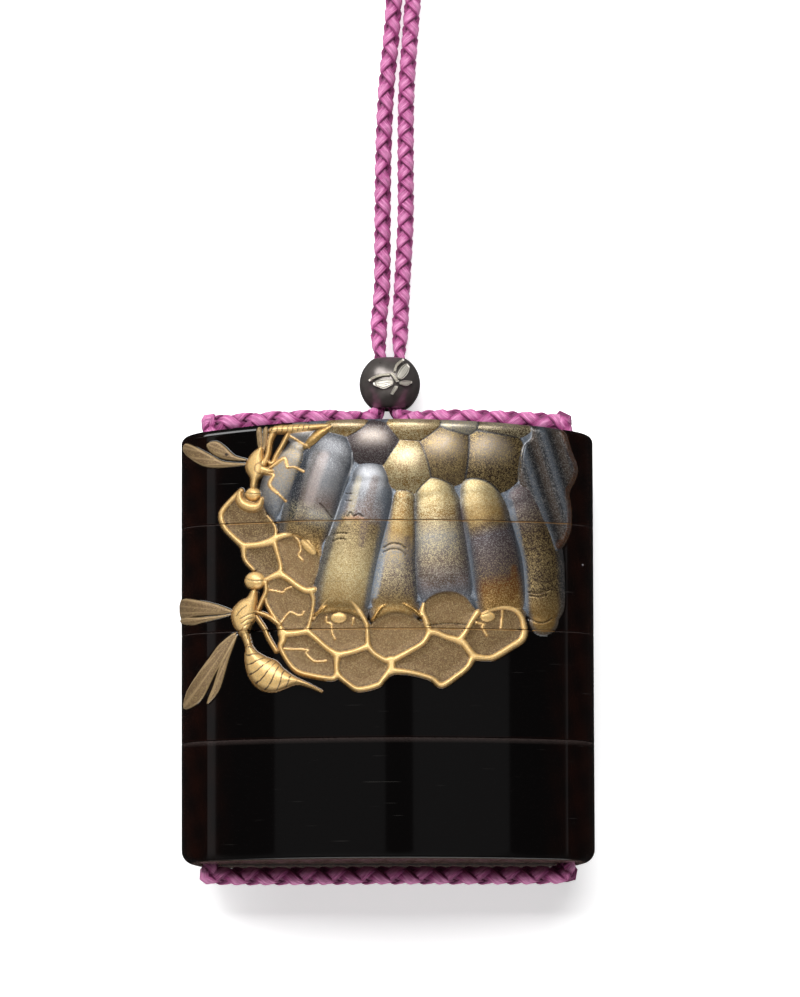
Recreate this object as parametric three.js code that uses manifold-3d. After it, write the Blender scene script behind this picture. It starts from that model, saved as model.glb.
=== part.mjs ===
/**
 * Inro case: a lid and three nesting boxes of lacquered wood, strung on a silk cord with a sliding metal bead.
 *
 * The case lies on its back. +Z is its front, +Y its lid end, X runs across it. Millimetres.
 * The origin is under the middle of the case, on the surface that it lies on.
 */
import * as THREE from "three";
import { mergeVertices } from "three/addons/utils/BufferGeometryUtils.js";
import Module from "manifold-3d";

const wasm = await Module();
wasm.setup();

// ---------------------------------------------------------------- driving dimensions

// The case's outer form: an ellipse-like section of two flat faces and two round sides.
const WIDTH = 62;
const HEIGHT = 66;
const DEPTH = 23;
const FACE_RADIUS = 70;
const FACE_SEGMENTS = 9;
const SIDE_SEGMENTS = 3;

// The tiers, from the base up.
const LOWER_HEIGHT = 18.15;
const MIDDLE_HEIGHT = 16.3;
const UPPER_HEIGHT = 16.2;
const SEAM_GAP = 0.25;
const SEAM_EASE = 0.15;

// The ends of the stack.
const LID_DOME_RADIUS = 341;
const LID_EDGE_RADIUS = 1.1;
const BASE_EDGE_RADIUS = 0.6;

// Walls, from the outside in.
const OUTER_WALL = 1.3;
const FIT_GAP = 0.3;
const RISER_WALL = 0.9;
const RISER_HEIGHT = 5;
const RISER_HALF_WIDTH = 23.5;
const FLOOR = 1.5;
const BASE_FLOOR = 2;
const LID_ROOF = 2.2;
const CORNER = 1;

// The cord and its channels.
const CHANNEL_X = 26.7;
const CHANNEL_RADIUS = 1.9;
const CHANNEL_SIDES = 10;
const CORD_RADIUS = 1.35;
const CORD_SIDES = 8;
const CORD_GAP = 0.3;

// The sliding bead, with its butterfly.
const BEAD_RADIUS = 4.6;
const BEAD_BORE_RADIUS = 2.35;
const BEAD_SEGMENTS = 16;
const BEAD_CENTRE = new THREE.Vector3(0.4, 40.5, 4.55);
const BUTTERFLY_CENTRE = new THREE.Vector2(0.9, 0.1);
const BUTTERFLY_GAP = 0.1;
const BUTTERFLY_THICKNESS = 0.45;

// The free end of the cord.
const COIL_CENTRE = new THREE.Vector2(21, 129);
const COIL_INNER_RADIUS = 9.5;
const COIL_OUTER_RADIUS = 23;
const COIL_HEIGHT = 3;
const COIL_SEGMENTS = 24;
const KNOT_HALF_SIZE = new THREE.Vector3(3.6, 3.1, 2.6);

// The relief: how deep it is rooted in the wall, and how high it stands.
const ROOT = 0.5;
const RIM_HEIGHT = 1;
const RIM_HALF_WIDTH = 0.35;
const CELL_FLOOR = 0.15;
const CELL_SIDES = 10;

// ---------------------------------------------------------------- worked out from them

const HALF_WIDTH = WIDTH / 2;
const HALF_DEPTH = DEPTH / 2;
const SIDE_RADIUS =
  (FACE_RADIUS ** 2 - (FACE_RADIUS - HALF_DEPTH) ** 2 - HALF_WIDTH ** 2) / (2 * (FACE_RADIUS - HALF_WIDTH));
const SIDE_CENTRE = HALF_WIDTH - SIDE_RADIUS;
const FACE_ANGLE = Math.atan2(SIDE_CENTRE, FACE_RADIUS - HALF_DEPTH);
// The middle facet of the back is the narrow flat that the case lies on.
const AXIS_Z = HALF_DEPTH - FACE_RADIUS * (1 - Math.cos(FACE_ANGLE / FACE_SEGMENTS));
const RECESS_HALF_WIDTH = RISER_HALF_WIDTH + FIT_GAP;
const POCKET_HALF_WIDTH = RISER_HALF_WIDTH - RISER_WALL;
const RISER_INSET = OUTER_WALL + FIT_GAP;
const POCKET_INSET = RISER_INSET + RISER_WALL;
const RECESS_DEPTH = RISER_HEIGHT + FIT_GAP;
const BASE_Y = -HEIGHT / 2;
const LOWER_SEAM_Y = BASE_Y + LOWER_HEIGHT;
const MIDDLE_SEAM_Y = LOWER_SEAM_Y + MIDDLE_HEIGHT;
const LID_SEAM_Y = MIDDLE_SEAM_Y + UPPER_HEIGHT;
const TOP_Y = HEIGHT / 2;
const BASE_CORD_Y = BASE_Y - CORD_GAP - CORD_RADIUS;

// ---------------------------------------------------------------- solids and meshes

/** A closed geometry as a solid that can be joined and cut. */
function solid(geometry) {
  const bare = geometry.clone();
  bare.deleteAttribute("normal");
  bare.deleteAttribute("uv");
  const merged = mergeVertices(bare, 1e-4);
  return new wasm.Manifold(
    new wasm.Mesh({
      numProp: 3,
      vertProperties: new Float32Array(merged.attributes.position.array),
      triVerts: new Uint32Array(merged.index.array),
    }),
  );
}

/** A solid as flat-shaded geometry. */
function geometryOf(body) {
  const mesh = body.getMesh();
  const geometry = new THREE.BufferGeometry();
  geometry.setAttribute("position", new THREE.BufferAttribute(mesh.vertProperties, 3));
  geometry.setIndex(new THREE.BufferAttribute(mesh.triVerts, 1));
  geometry.computeVertexNormals();
  return geometry;
}

const join = (bodies) => bodies.reduce((whole, body) => whole.add(body));

/** A closed skin over rings of points, each with the same count. Ends are closed by the triangles given. */
function skin(rings, endTriangles) {
  const count = rings[0].length;
  const index = [];
  for (let ring = 0; ring + 1 < rings.length; ring += 1) {
    for (let i = 0; i < count; i += 1) {
      const a = ring * count + i;
      const b = ring * count + ((i + 1) % count);
      index.push(a, b, b + count, a, b + count, a + count);
    }
  }
  const last = (rings.length - 1) * count;
  for (const [a, b, c] of endTriangles) {
    index.push(c, b, a, last + a, last + b, last + c);
  }
  const geometry = new THREE.BufferGeometry();
  geometry.setAttribute("position", new THREE.Float32BufferAttribute(rings.flat(2), 3));
  geometry.setIndex(index);
  return geometry;
}

/** Triangles that close a ring whose points all see its first one. */
function fan(count) {
  return Array.from({ length: count - 2 }, (_, i) => [0, i + 1, i + 2]);
}

/** Triangles that close a ring made of a front half and its mirror image, by bars from front to back. */
function bars(count) {
  const half = count / 2;
  const triangles = [];
  for (let i = 0; i < half; i += 1) {
    const back = (count - i) % count;
    if (i > 0) triangles.push([i, i + 1, back]);
    if (i + 1 < half) triangles.push([i + 1, count - i - 1, back]);
    else if (i === 0) triangles.push([i, i + 1, back]);
  }
  return triangles;
}

function boxBetween(low, high) {
  const size = high.clone().sub(low);
  const box = new THREE.BoxGeometry(size.x, size.y, size.z);
  const middle = low.clone().add(high).multiplyScalar(0.5);
  return solid(box.translate(middle.x, middle.y, middle.z));
}

// ---------------------------------------------------------------- the case's cross-section

/** Where the section stands for a normal leaning `angle` from the front, `inset` inside the outer surface. */
function sectionPoint(angle, inset) {
  if (Math.abs(angle) <= FACE_ANGLE) {
    const radius = FACE_RADIUS - inset;
    return [radius * Math.sin(angle), radius * Math.cos(angle) + HALF_DEPTH - FACE_RADIUS];
  }
  const radius = SIDE_RADIUS - inset;
  return [Math.sign(angle) * SIDE_CENTRE + radius * Math.sin(angle), radius * Math.cos(angle)];
}

/** The front half of the outer section, from left to right, as [x, height over the mid-plane]. */
function outerHalf(inset) {
  const angles = [];
  const sideStep = (Math.PI / 2 - FACE_ANGLE) / SIDE_SEGMENTS;
  const faceStep = (2 * FACE_ANGLE) / FACE_SEGMENTS;
  for (let i = 0; i < SIDE_SEGMENTS; i += 1) angles.push(-Math.PI / 2 + i * sideStep);
  for (let i = 0; i <= FACE_SEGMENTS; i += 1) angles.push(-FACE_ANGLE + i * faceStep);
  for (let i = 1; i <= SIDE_SEGMENTS; i += 1) angles.push(FACE_ANGLE + i * sideStep);
  return angles.map((angle) => {
    const [x, height] = sectionPoint(angle, inset);
    return [x, Math.abs(height) < 1e-9 ? 0 : height];
  });
}

/** The front half of a compartment's section: the face's curve between two straight sides. */
function innerHalf(halfWidth, inset) {
  const radius = FACE_RADIUS - inset;
  const heightAt = (x) => Math.sqrt(radius ** 2 - x ** 2) + HALF_DEPTH - FACE_RADIUS;
  const inner = halfWidth - CORNER;
  const half = [
    [-halfWidth, 0],
    [-halfWidth, heightAt(halfWidth) - CORNER],
  ];
  for (let i = 0; i <= FACE_SEGMENTS; i += 1) {
    const x = -inner + (2 * inner * i) / FACE_SEGMENTS;
    half.push([x, heightAt(x)]);
  }
  half.push([halfWidth, heightAt(halfWidth) - CORNER], [halfWidth, 0]);
  return half;
}

/** One ring of the case: a front half, mirrored to the back, at the height along the case that yAt gives. */
function caseRing(half, yAt) {
  const front = half.map(([x, height]) => [x, yAt(x), AXIS_Z + height]);
  const back = half.slice(1, -1).map(([x, height]) => [x, yAt(x), AXIS_Z - height]);
  return [...front, ...back.reverse()];
}

/** A solid of the case's section, through stations of [half section, height along the case or its function]. */
function caseLoft(stations) {
  const rings = stations.map(([half, y]) => caseRing(half, typeof y === "function" ? y : () => y));
  return solid(skin(rings, bars(rings[0].length)));
}

function prism(half, low, high) {
  return caseLoft([
    [half, low],
    [half, high],
  ]);
}

// ---------------------------------------------------------------- the tiers

const lidTopAt = (x) => TOP_Y - x ** 2 / (2 * LID_DOME_RADIUS);

/** An edge rounded by `radius`, as stations of [inset, distance from the end], from the wall to the end. */
function roundedEdge(radius, steps) {
  return Array.from({ length: steps + 1 }, (_, i) => {
    const angle = ((Math.PI / 2) * i) / steps;
    return [radius * (1 - Math.cos(angle)), radius * (1 - Math.sin(angle))];
  });
}

function channels(low, high) {
  return join(
    [-CHANNEL_X, CHANNEL_X].map((x) => {
      const bore = new THREE.CylinderGeometry(CHANNEL_RADIUS, CHANNEL_RADIUS, high - low + 2, CHANNEL_SIDES);
      return solid(bore.translate(x, (low + high) / 2, AXIS_Z));
    }),
  );
}

/** The room in a tier's underside for the riser of the tier below. */
function recess(seam) {
  return prism(innerHalf(RECESS_HALF_WIDTH, OUTER_WALL), seam - 1, seam + RECESS_DEPTH);
}

/** The room that a tier stores things in. */
function pocket(low, high) {
  return prism(innerHalf(POCKET_HALF_WIDTH, POCKET_INSET), low, high);
}

/** The lip that stands up inside the tier above. */
function riser(seam) {
  return prism(innerHalf(RISER_HALF_WIDTH, RISER_INSET), seam - FLOOR, seam + RISER_HEIGHT);
}

function caseBody(low, high, underside) {
  const top = high - SEAM_GAP;
  const outside = caseLoft([
    ...underside,
    [outerHalf(0), top - SEAM_EASE],
    [outerHalf(SEAM_EASE), top],
  ]);
  return outside.add(riser(high)).subtract(channels(low, high));
}

function seamEdge(seam) {
  return [
    [outerHalf(SEAM_EASE), seam],
    [outerHalf(0), seam + SEAM_EASE],
  ];
}

function lowerCase() {
  const edge = roundedEdge(BASE_EDGE_RADIUS, 2).reverse();
  const underside = edge.map(([inset, rise]) => [outerHalf(inset), BASE_Y + rise]);
  const body = caseBody(BASE_Y, LOWER_SEAM_Y, underside);
  return body.subtract(pocket(BASE_Y + BASE_FLOOR, LOWER_SEAM_Y + RISER_HEIGHT + 1));
}

function nestedCase(low, high) {
  const body = caseBody(low, high, seamEdge(low)).subtract(recess(low));
  return body.subtract(pocket(low + RECESS_DEPTH + FLOOR, high + RISER_HEIGHT + 1));
}

function lid() {
  const edge = roundedEdge(LID_EDGE_RADIUS, 3);
  const top = edge.map(([inset, drop]) => [outerHalf(inset), (x) => lidTopAt(x) - drop]);
  const outside = caseLoft([...seamEdge(LID_SEAM_Y), ...top]);
  const roof = lidTopAt(POCKET_HALF_WIDTH) - LID_ROOF;
  return outside
    .subtract(channels(LID_SEAM_Y, TOP_Y))
    .subtract(recess(LID_SEAM_Y))
    .subtract(pocket(LID_SEAM_Y, roof));
}

// ---------------------------------------------------------------- relief on the front

/** A point `lift` above the case's front, where x and y are seen square on. */
function onFront(x, y, lift) {
  const onFace = Math.abs(x) <= FACE_RADIUS * Math.sin(FACE_ANGLE);
  const reach = Math.min((Math.abs(x) - SIDE_CENTRE) / SIDE_RADIUS, 0.995);
  const angle = onFace ? Math.asin(x / FACE_RADIUS) : Math.sign(x) * Math.asin(reach);
  const [px, height] = sectionPoint(angle, -lift);
  return [px, y, AXIS_Z + height];
}

/** A rounded ridge along stations of [x, y, half width, height]. */
function ridge(stations, sides = 5) {
  const rings = stations.map(([x, y, halfWidth, height], i) => {
    const before = stations[Math.max(i - 1, 0)];
    const after = stations[Math.min(i + 1, stations.length - 1)];
    const along = new THREE.Vector2(after[0] - before[0], after[1] - before[1]).normalize();
    return Array.from({ length: sides + 1 }, (_, j) => {
      const angle = Math.PI * (1 - j / sides);
      const across = halfWidth * Math.cos(angle);
      const lift = (height + ROOT) * Math.sin(angle) - ROOT;
      return onFront(x + along.y * across, y - along.x * across, lift);
    });
  });
  return solid(skin(rings, fan(sides + 1)));
}

/** A straight-sided or domed mound: an ellipse turned by `turn` radians, through [scale, height] levels. */
function mound([x, y, radiusX, radiusY, turn = 0], levels, sides = 8) {
  const rings = levels.map(([scale, height]) =>
    Array.from({ length: sides }, (_, i) => {
      const angle = (2 * Math.PI * i) / sides;
      const spot = new THREE.Vector2(radiusX * scale * Math.cos(angle), radiusY * scale * Math.sin(angle));
      spot.rotateAround(new THREE.Vector2(), turn);
      return onFront(x + spot.x, y + spot.y, height);
    }),
  );
  return solid(skin(rings, fan(sides)));
}

const dome = (spot, height, sides) =>
  mound(
    spot,
    [
      [1, -ROOT],
      [0.88, height * 0.6],
      [0.45, height],
    ],
    sides,
  );

// The nest's long closed cells: stations of [x, y, half width, height] from the top down.
const LONG_CELLS = [
  [[-14.1, 28.9, 2.2, 0.8], [-15.2, 24.5, 3.5, 1], [-16.1, 20.5, 2.8, 0.9], [-16.8, 17.4, 0.9, 0.5]],
  [[-7.6, 30.8, 2.2, 0.9], [-8.8, 28, 3.8, 1.2], [-11, 22.5, 4.2, 1.3], [-13.2, 17.2, 3, 1.1], [-13.6, 15.6, 1.6, 0.7]],
  [[-2.5, 27, 2.6, 0.9], [-3.6, 22.5, 3.6, 1.3], [-5.6, 14, 3.8, 1.3], [-7.2, 5.3, 3.9, 1.1], [-7.5, 3.6, 3.2, 0.7]],
  [[2.4, 22.6, 1.4, 0.7], [2.2, 18, 2.5, 0.9], [1.3, 11, 3.2, 1], [0.8, 5.3, 3.5, 0.9]],
  [[7.3, 24.8, 2.6, 0.8], [7.7, 19, 3.7, 1.1], [8.2, 12.5, 4.2, 1.1], [8.6, 7, 4.3, 0.9]],
  [[13.9, 25.1, 3.1, 0.9], [14.7, 19, 4.1, 1.2], [16.1, 10.5, 4, 1.1], [17, 4, 3.6, 0.9]],
  [[19.8, 23.3, 2.2, 0.7], [21, 16.5, 2.8, 1], [22.4, 8, 2.7, 1], [23.2, 0.9, 2.3, 0.6]],
  [[24.2, 31.2, 2.4, 0.8], [24.4, 27.5, 3.9, 1], [24.6, 22, 3.2, 0.9], [25.8, 17, 1.7, 0.8], [25.9, 14, 0.8, 0.5]],
];

// The rounded cell ends above them: [x, y, radius across, radius along].
const PADS = [
  [-11, 30.8, 3.2, 1.4, 0.65],
  [-2.5, 29.3, 3.6, 2.7],
  [3, 26, 3.3, 3.3],
  [8.8, 27.7, 4.5, 3.9],
  [16, 27.7, 4.1, 4.1],
  [-6.2, 31.7, 2.9, 1],
  [3.8, 31.4, 3.9, 1.3],
  [13.6, 31.3, 5.7, 1.4],
  [23.2, 1.8, 1.6, 1.5],
];
const PAD_HEIGHT = 1.2;

// The nest's open cells: [x, y, radius across, radius along].
const OPEN_CELLS = [
  [-20.8, 17.7, 3.75, 3.15],
  [-18.9, 12, 2.6, 2.3],
  [-13.2, 12, 2.9, 3.75],
  [-14.8, 5.5, 3.6, 3.15],
  [-11.6, -2.9, 3.9, 2.9],
  [-7.4, 0.6, 4, 2.7],
  [-3.7, -4.7, 3.5, 2.7],
  [1.3, 0.7, 4.4, 3.3],
  [8.8, 4.5, 3.75, 3.3],
  [16, 0.7, 4.3, 3.15],
  [6.5, -3.5, 3.75, 3.3],
];

function widened([x, y, radiusX, radiusY], by) {
  return [x, y, radiusX + by, radiusY + by];
}

/** The combs: one web of cell walls, with every cell sunk in it. */
function combs() {
  const walls = OPEN_CELLS.map((cell) =>
    mound(
      widened(cell, RIM_HALF_WIDTH),
      [
        [1.08, -ROOT],
        [1, RIM_HEIGHT],
      ],
      CELL_SIDES,
    ),
  );
  const hollows = OPEN_CELLS.map((cell) =>
    mound(
      widened(cell, -RIM_HALF_WIDTH),
      [
        [0.8, CELL_FLOOR],
        [1, RIM_HEIGHT + 0.5],
      ],
      CELL_SIDES,
    ),
  );
  return join(walls).subtract(join(hollows));
}

/** A thin leg or feeler through points of [x, y]. */
function leg(points, halfWidth = 0.22, height = 0.55) {
  return ridge(
    points.map(([x, y]) => [x, y, halfWidth, height]),
    3,
  );
}

const WING_HEIGHT = 0.45;

/** A flat pointed wing from its root to its tip. */
function wing([rootX, rootY], [tipX, tipY], halfWidth) {
  const at = (t) => [rootX + (tipX - rootX) * t, rootY + (tipY - rootY) * t];
  const widths = [0.35, 0.8, 1, 0.45];
  return ridge(
    widths.map((width, i) => [...at(i / (widths.length - 1)), halfWidth * width, WING_HEIGHT]),
    4,
  );
}

/** The lower wasp, creeping up over the combs from the left edge. */
function lowerWasp() {
  return join([
    dome([-20.2, 8.7, 1.6, 1.5], 1.1, 8),
    dome([-21.6, 3.8, 1.9, 2.9], 1.3),
    ridge([[-20.1, 7.6, 0.7, 0.7], [-20.4, 6.2, 0.9, 0.8]]),
    ridge([[-21.4, 1.5, 0.6, 0.8], [-21, -1.6, 0.5, 0.7]], 4),
    ridge([[-21, -1.4, 0.5, 0.7], [-20, -3, 1.5, 1.1], [-18.2, -4.8, 2.3, 1.4], [-15.6, -5.9, 1.9, 1.2],
      [-13.2, -6.7, 1, 0.8], [-10.1, -7.8, 0.3, 0.5]]),
    wing([-23, 4.3], [-30.6, 5.3], 0.9),
    wing([-23, 3.6], [-30.6, 3], 0.8),
    wing([-22.9, 1.8], [-30.6, -10.3], 1.2),
    wing([-22.6, 1], [-27.6, -9.7], 0.7),
    leg([[-19.6, 4.4], [-18.4, 7.3]]),
    leg([[-19.7, 4], [-17.4, 3.4], [-16.2, 2.3], [-13.5, 3.8]]),
    leg([[-19.9, 3], [-18.4, 1.2], [-16.9, -1.9], [-14, -1.6]]),
    leg([[-18.9, 9.2], [-16.2, 7.2], [-14.6, 7.8]], 0.18),
  ]);
}

/** The upper wasp, on the shoulder of the nest under the lid's top edge. */
function upperWasp() {
  return join([
    dome([-19.8, 26.3, 1.5, 2.3], 1.2, 8),
    dome([-20.9, 21.3, 1.8, 1.9], 1, 8),
    ridge([[-20.2, 24.6, 0.7, 0.7], [-20.5, 22.6, 0.6, 0.7]], 4),
    ridge([[-18.8, 28, 0.5, 0.7], [-17.2, 31, 0.9, 1], [-13.6, 32, 0.8, 1], [-9.4, 32.3, 0.4, 0.6]], 4),
    wing([-21.3, 26.9], [-27.4, 29.4], 0.9),
    wing([-21.4, 26.4], [-30.6, 28.7], 0.8),
    wing([-19.3, 27.9], [-19.2, 31.7], 0.5),
    leg([[-18.2, 26.6], [-16.4, 28.6], [-15, 30.6], [-13.3, 29.4]]),
    leg([[-18.3, 25.6], [-16.8, 26.4], [-15.6, 27.3], [-15.2, 25.8]]),
    leg([[-18.2, 24.9], [-17.3, 24.8], [-17.9, 23.1], [-15.4, 20.7]]),
  ]);
}

function relief() {
  return join([
    ...LONG_CELLS.map((stations) => ridge(stations)),
    ...PADS.map((pad) => dome(pad, PAD_HEIGHT)),
    combs(),
    lowerWasp(),
    upperWasp(),
  ]);
}

/** The share of the relief that a tier carries between two heights along the case. */
function reliefBetween(whole, low, high) {
  const slab = boxBetween(
    new THREE.Vector3(-HALF_WIDTH, low, AXIS_Z - 1),
    new THREE.Vector3(HALF_WIDTH, high, DEPTH * 2),
  );
  return whole.intersect(slab);
}

// ---------------------------------------------------------------- cord, bead and knot

/** A route through hand-placed points, with one step from each point to the next. */
class CordRoute extends THREE.CatmullRomCurve3 {
  constructor(points) {
    super(points.map(([x, y, z]) => new THREE.Vector3(x, y, z)), false, "centripetal");
  }

  getPointAt(u, target) {
    return this.getPoint(u, target);
  }

  getTangentAt(u, target) {
    return this.getTangent(u, target);
  }
}

function cordTube(points) {
  const corner = (i) => {
    const angle = ((i + 0.5) * 2 * Math.PI) / CORD_SIDES;
    return new THREE.Vector2(CORD_RADIUS * Math.cos(angle), CORD_RADIUS * Math.sin(angle));
  };
  const section = new THREE.Shape(Array.from({ length: CORD_SIDES }, (_, i) => corner(i)));
  return new THREE.ExtrudeGeometry(section, {
    extrudePath: new CordRoute(points),
    steps: points.length - 1,
    bevelEnabled: false,
  });
}

/** How high along the case the cord's middle runs on the lid, at x. */
const legY = (x) => lidTopAt(x) + CORD_GAP + CORD_RADIUS;

// Half of the held loop, from the bead over the lid, down the left channel and under the base to the middle.
const HELD_HALF = [
  [-1.5, 35.9, 4.8],
  [-1.9, 35.1, 5.3],
  [-3.3, legY(3.3), 6.6],
  [-6.5, legY(6.5), 9.1],
  [-12, legY(12), 11.2],
  [-21, legY(21), AXIS_Z],
  [-CHANNEL_X + 1.8, legY(24.9), AXIS_Z],
  [-CHANNEL_X + 0.5, 33.1, AXIS_Z],
  [-CHANNEL_X, 31.5, AXIS_Z],
  [-CHANNEL_X, 0, AXIS_Z],
  [-CHANNEL_X, -31.6, AXIS_Z],
  [-CHANNEL_X + 0.4, -33.7, AXIS_Z],
  [-CHANNEL_X + 1.8, BASE_CORD_Y, AXIS_Z],
];

function heldLoop() {
  const otherHalf = HELD_HALF.map(([x, y, z]) => [-x, y, z]).reverse();
  return cordTube([...HELD_HALF, [0, BASE_CORD_Y, AXIS_Z], ...otherHalf]);
}

const LIE_Z = CORD_RADIUS + 0.05;

// The free strands, from the bead to the coil.
const LEFT_STRAND = [
  [-1.05, 44.8, 4.5],
  [-1.25, 47.5, 3.3],
  [-1.2, 51, 1.9],
  [-0.75, 56, LIE_Z],
  [-0.65, 66, LIE_Z],
  [-0.5, 76, LIE_Z],
  [-0.05, 86, LIE_Z],
  [0.9, 96, LIE_Z],
  [1.5, 105, LIE_Z],
  [1.7, 113.5, LIE_Z],
];
const RIGHT_STRAND = [
  [1.85, 44.8, 4.5],
  [1.95, 47.5, 3.3],
  [2.05, 51, 1.9],
  [2.3, 56, LIE_Z],
  [2.85, 66, LIE_Z],
  [2.9, 76, LIE_Z],
  [3.05, 86, LIE_Z],
  [3.75, 96, LIE_Z],
  [4.4, 104, LIE_Z],
  [4.65, 111.2, LIE_Z],
];

function coil() {
  const half = COIL_HEIGHT / 2;
  const soft = half * 0.6;
  const profile = [
    [COIL_INNER_RADIUS, 0],
    [COIL_INNER_RADIUS + soft, -half],
    [COIL_OUTER_RADIUS - soft, -half],
    [COIL_OUTER_RADIUS, 0],
    [COIL_OUTER_RADIUS - soft, half],
    [COIL_INNER_RADIUS + soft, half],
    [COIL_INNER_RADIUS, 0],
  ];
  const ring = new THREE.LatheGeometry(
    profile.map(([radius, height]) => new THREE.Vector2(radius, height)),
    COIL_SEGMENTS,
  );
  return geometryOf(solid(ring.rotateX(Math.PI / 2)));
}

function knot() {
  const lump = new THREE.SphereGeometry(1, 10, 6);
  return lump.scale(KNOT_HALF_SIZE.x, KNOT_HALF_SIZE.y, KNOT_HALF_SIZE.z);
}

/** The bead round the origin, bored along Y, with a small flat underneath. */
function bead() {
  const rimAngle = Math.acos(BEAD_BORE_RADIUS / BEAD_RADIUS);
  const steps = 8;
  const profile = Array.from({ length: steps + 1 }, (_, i) => {
    const angle = -rimAngle + (2 * rimAngle * i) / steps;
    return new THREE.Vector2(BEAD_RADIUS * Math.cos(angle), BEAD_RADIUS * Math.sin(angle));
  });
  profile.push(profile[0].clone());
  const ball = solid(new THREE.LatheGeometry(profile, BEAD_SEGMENTS));
  const reach = BEAD_RADIUS + 1;
  const above = boxBetween(
    new THREE.Vector3(-reach, -reach, -BEAD_CENTRE.z),
    new THREE.Vector3(reach, reach, reach),
  );
  return geometryOf(ball.intersect(above));
}

/** The butterfly round the bead's middle: four wings and a body, as a thin shell over the bead. */
function butterfly() {
  // [x, y, radius along, radius across, turn] of each lobe, seen square on.
  const lobes = [
    [0, 0, 2.1, 0.42, -0.85],
    [-1.35, -0.75, 1.75, 1.05, 0.45],
    [1.25, 1.05, 1.75, 1.05, 0.75],
    [0.45, -1.35, 0.95, 0.6, -1.25],
    [1.35, -0.55, 0.95, 0.6, -0.35],
  ];
  const columns = lobes.map(([x, y, along, across, turn]) => {
    const column = new THREE.CylinderGeometry(1, 1, BEAD_RADIUS * 1.5, 10).rotateX(Math.PI / 2);
    column.scale(along, across, 1).rotateZ(turn);
    return solid(column.translate(BUTTERFLY_CENTRE.x + x, BUTTERFLY_CENTRE.y + y, BEAD_RADIUS));
  });
  const inner = BEAD_RADIUS + BUTTERFLY_GAP;
  const ball = (radius) => solid(new THREE.SphereGeometry(radius, 22, 14));
  const shell = ball(inner + BUTTERFLY_THICKNESS).subtract(ball(inner));
  return geometryOf(join(columns).intersect(shell));
}

// ---------------------------------------------------------------- assembly

const lacquer = () => new THREE.MeshStandardMaterial({ color: 0x0e0907, roughness: 0.18, metalness: 0 });
const silk = () => new THREE.MeshStandardMaterial({ color: 0xb0458f, roughness: 0.6, metalness: 0 });
const shibuichi = () => new THREE.MeshStandardMaterial({ color: 0x4a4542, roughness: 0.4, metalness: 0.9 });
const silver = () => new THREE.MeshStandardMaterial({ color: 0xc9c7c0, roughness: 0.3, metalness: 1 });

function piece(name, geometry, material, place = new THREE.Vector3()) {
  const mesh = new THREE.Mesh(geometry, material);
  mesh.name = name;
  mesh.position.copy(place);
  return mesh;
}

function tiers() {
  const whole = relief();
  const parts = [
    ["lower_case", lowerCase(), BASE_Y, LOWER_SEAM_Y - SEAM_GAP],
    ["middle_case", nestedCase(LOWER_SEAM_Y, MIDDLE_SEAM_Y), LOWER_SEAM_Y, MIDDLE_SEAM_Y - SEAM_GAP],
    ["upper_case", nestedCase(MIDDLE_SEAM_Y, LID_SEAM_Y), MIDDLE_SEAM_Y, LID_SEAM_Y - SEAM_GAP],
    ["lid", lid(), LID_SEAM_Y, TOP_Y - 0.1],
  ];
  const group = new THREE.Group();
  for (const [name, body, low, high] of parts) {
    const share = reliefBetween(whole, low, high);
    const carved = share.isEmpty() ? body : body.add(share);
    group.add(piece(name, geometryOf(carved), lacquer()));
  }
  return group;
}

function stringing() {
  const group = new THREE.Group();
  group.add(piece("cord_through_case", heldLoop(), silk()));
  group.add(piece("ojime_bead", bead(), shibuichi(), BEAD_CENTRE));
  group.add(piece("ojime_butterfly", butterfly(), silver(), BEAD_CENTRE));
  group.add(piece("cord_strand_left", cordTube(LEFT_STRAND), silk()));
  group.add(piece("cord_strand_right", cordTube(RIGHT_STRAND), silk()));
  const coilPlace = new THREE.Vector3(COIL_CENTRE.x, COIL_CENTRE.y, COIL_HEIGHT / 2);
  group.add(piece("cord_coil", coil(), silk(), coilPlace));
  const knotPlace = new THREE.Vector3(COIL_CENTRE.x, COIL_CENTRE.y, KNOT_HALF_SIZE.z);
  group.add(piece("cord_knot", knot(), silk(), knotPlace));
  return group;
}

const inro = new THREE.Group();
inro.add(tiers(), stringing());

export default inro;
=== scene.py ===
"""Inro case: a lid and three nesting boxes in black lacquer, with a wasps' nest and two wasps in raised
gold and silver lacquer, strung on a plaited magenta silk cord with a dark metal bead."""

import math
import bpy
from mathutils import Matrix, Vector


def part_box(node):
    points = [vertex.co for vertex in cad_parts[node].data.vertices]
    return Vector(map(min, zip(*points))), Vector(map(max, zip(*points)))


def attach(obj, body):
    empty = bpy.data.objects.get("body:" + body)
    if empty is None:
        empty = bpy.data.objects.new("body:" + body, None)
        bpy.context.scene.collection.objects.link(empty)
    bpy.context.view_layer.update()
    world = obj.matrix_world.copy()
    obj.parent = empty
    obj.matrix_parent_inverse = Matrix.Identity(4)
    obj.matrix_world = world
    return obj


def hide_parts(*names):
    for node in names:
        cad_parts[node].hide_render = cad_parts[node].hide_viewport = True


bl_info = {
    "name": "Inro case",
    "version": (1, 0, 0),
    "blender": (4, 5, 0),
    "location": "3D View > Sidebar > Inro",
    "description": "Builds a lacquered inro case, its silk cord and its bead round a fixed frame",
    "category": "Object",
}

import bpy
import numpy as np
from mathutils import Matrix, Vector

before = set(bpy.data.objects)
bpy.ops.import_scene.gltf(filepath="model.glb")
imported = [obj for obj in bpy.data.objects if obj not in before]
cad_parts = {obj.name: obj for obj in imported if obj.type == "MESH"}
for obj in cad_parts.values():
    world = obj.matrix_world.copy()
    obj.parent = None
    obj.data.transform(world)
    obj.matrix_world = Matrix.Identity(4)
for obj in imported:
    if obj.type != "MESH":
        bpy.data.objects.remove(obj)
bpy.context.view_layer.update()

MM = 0.001


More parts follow.
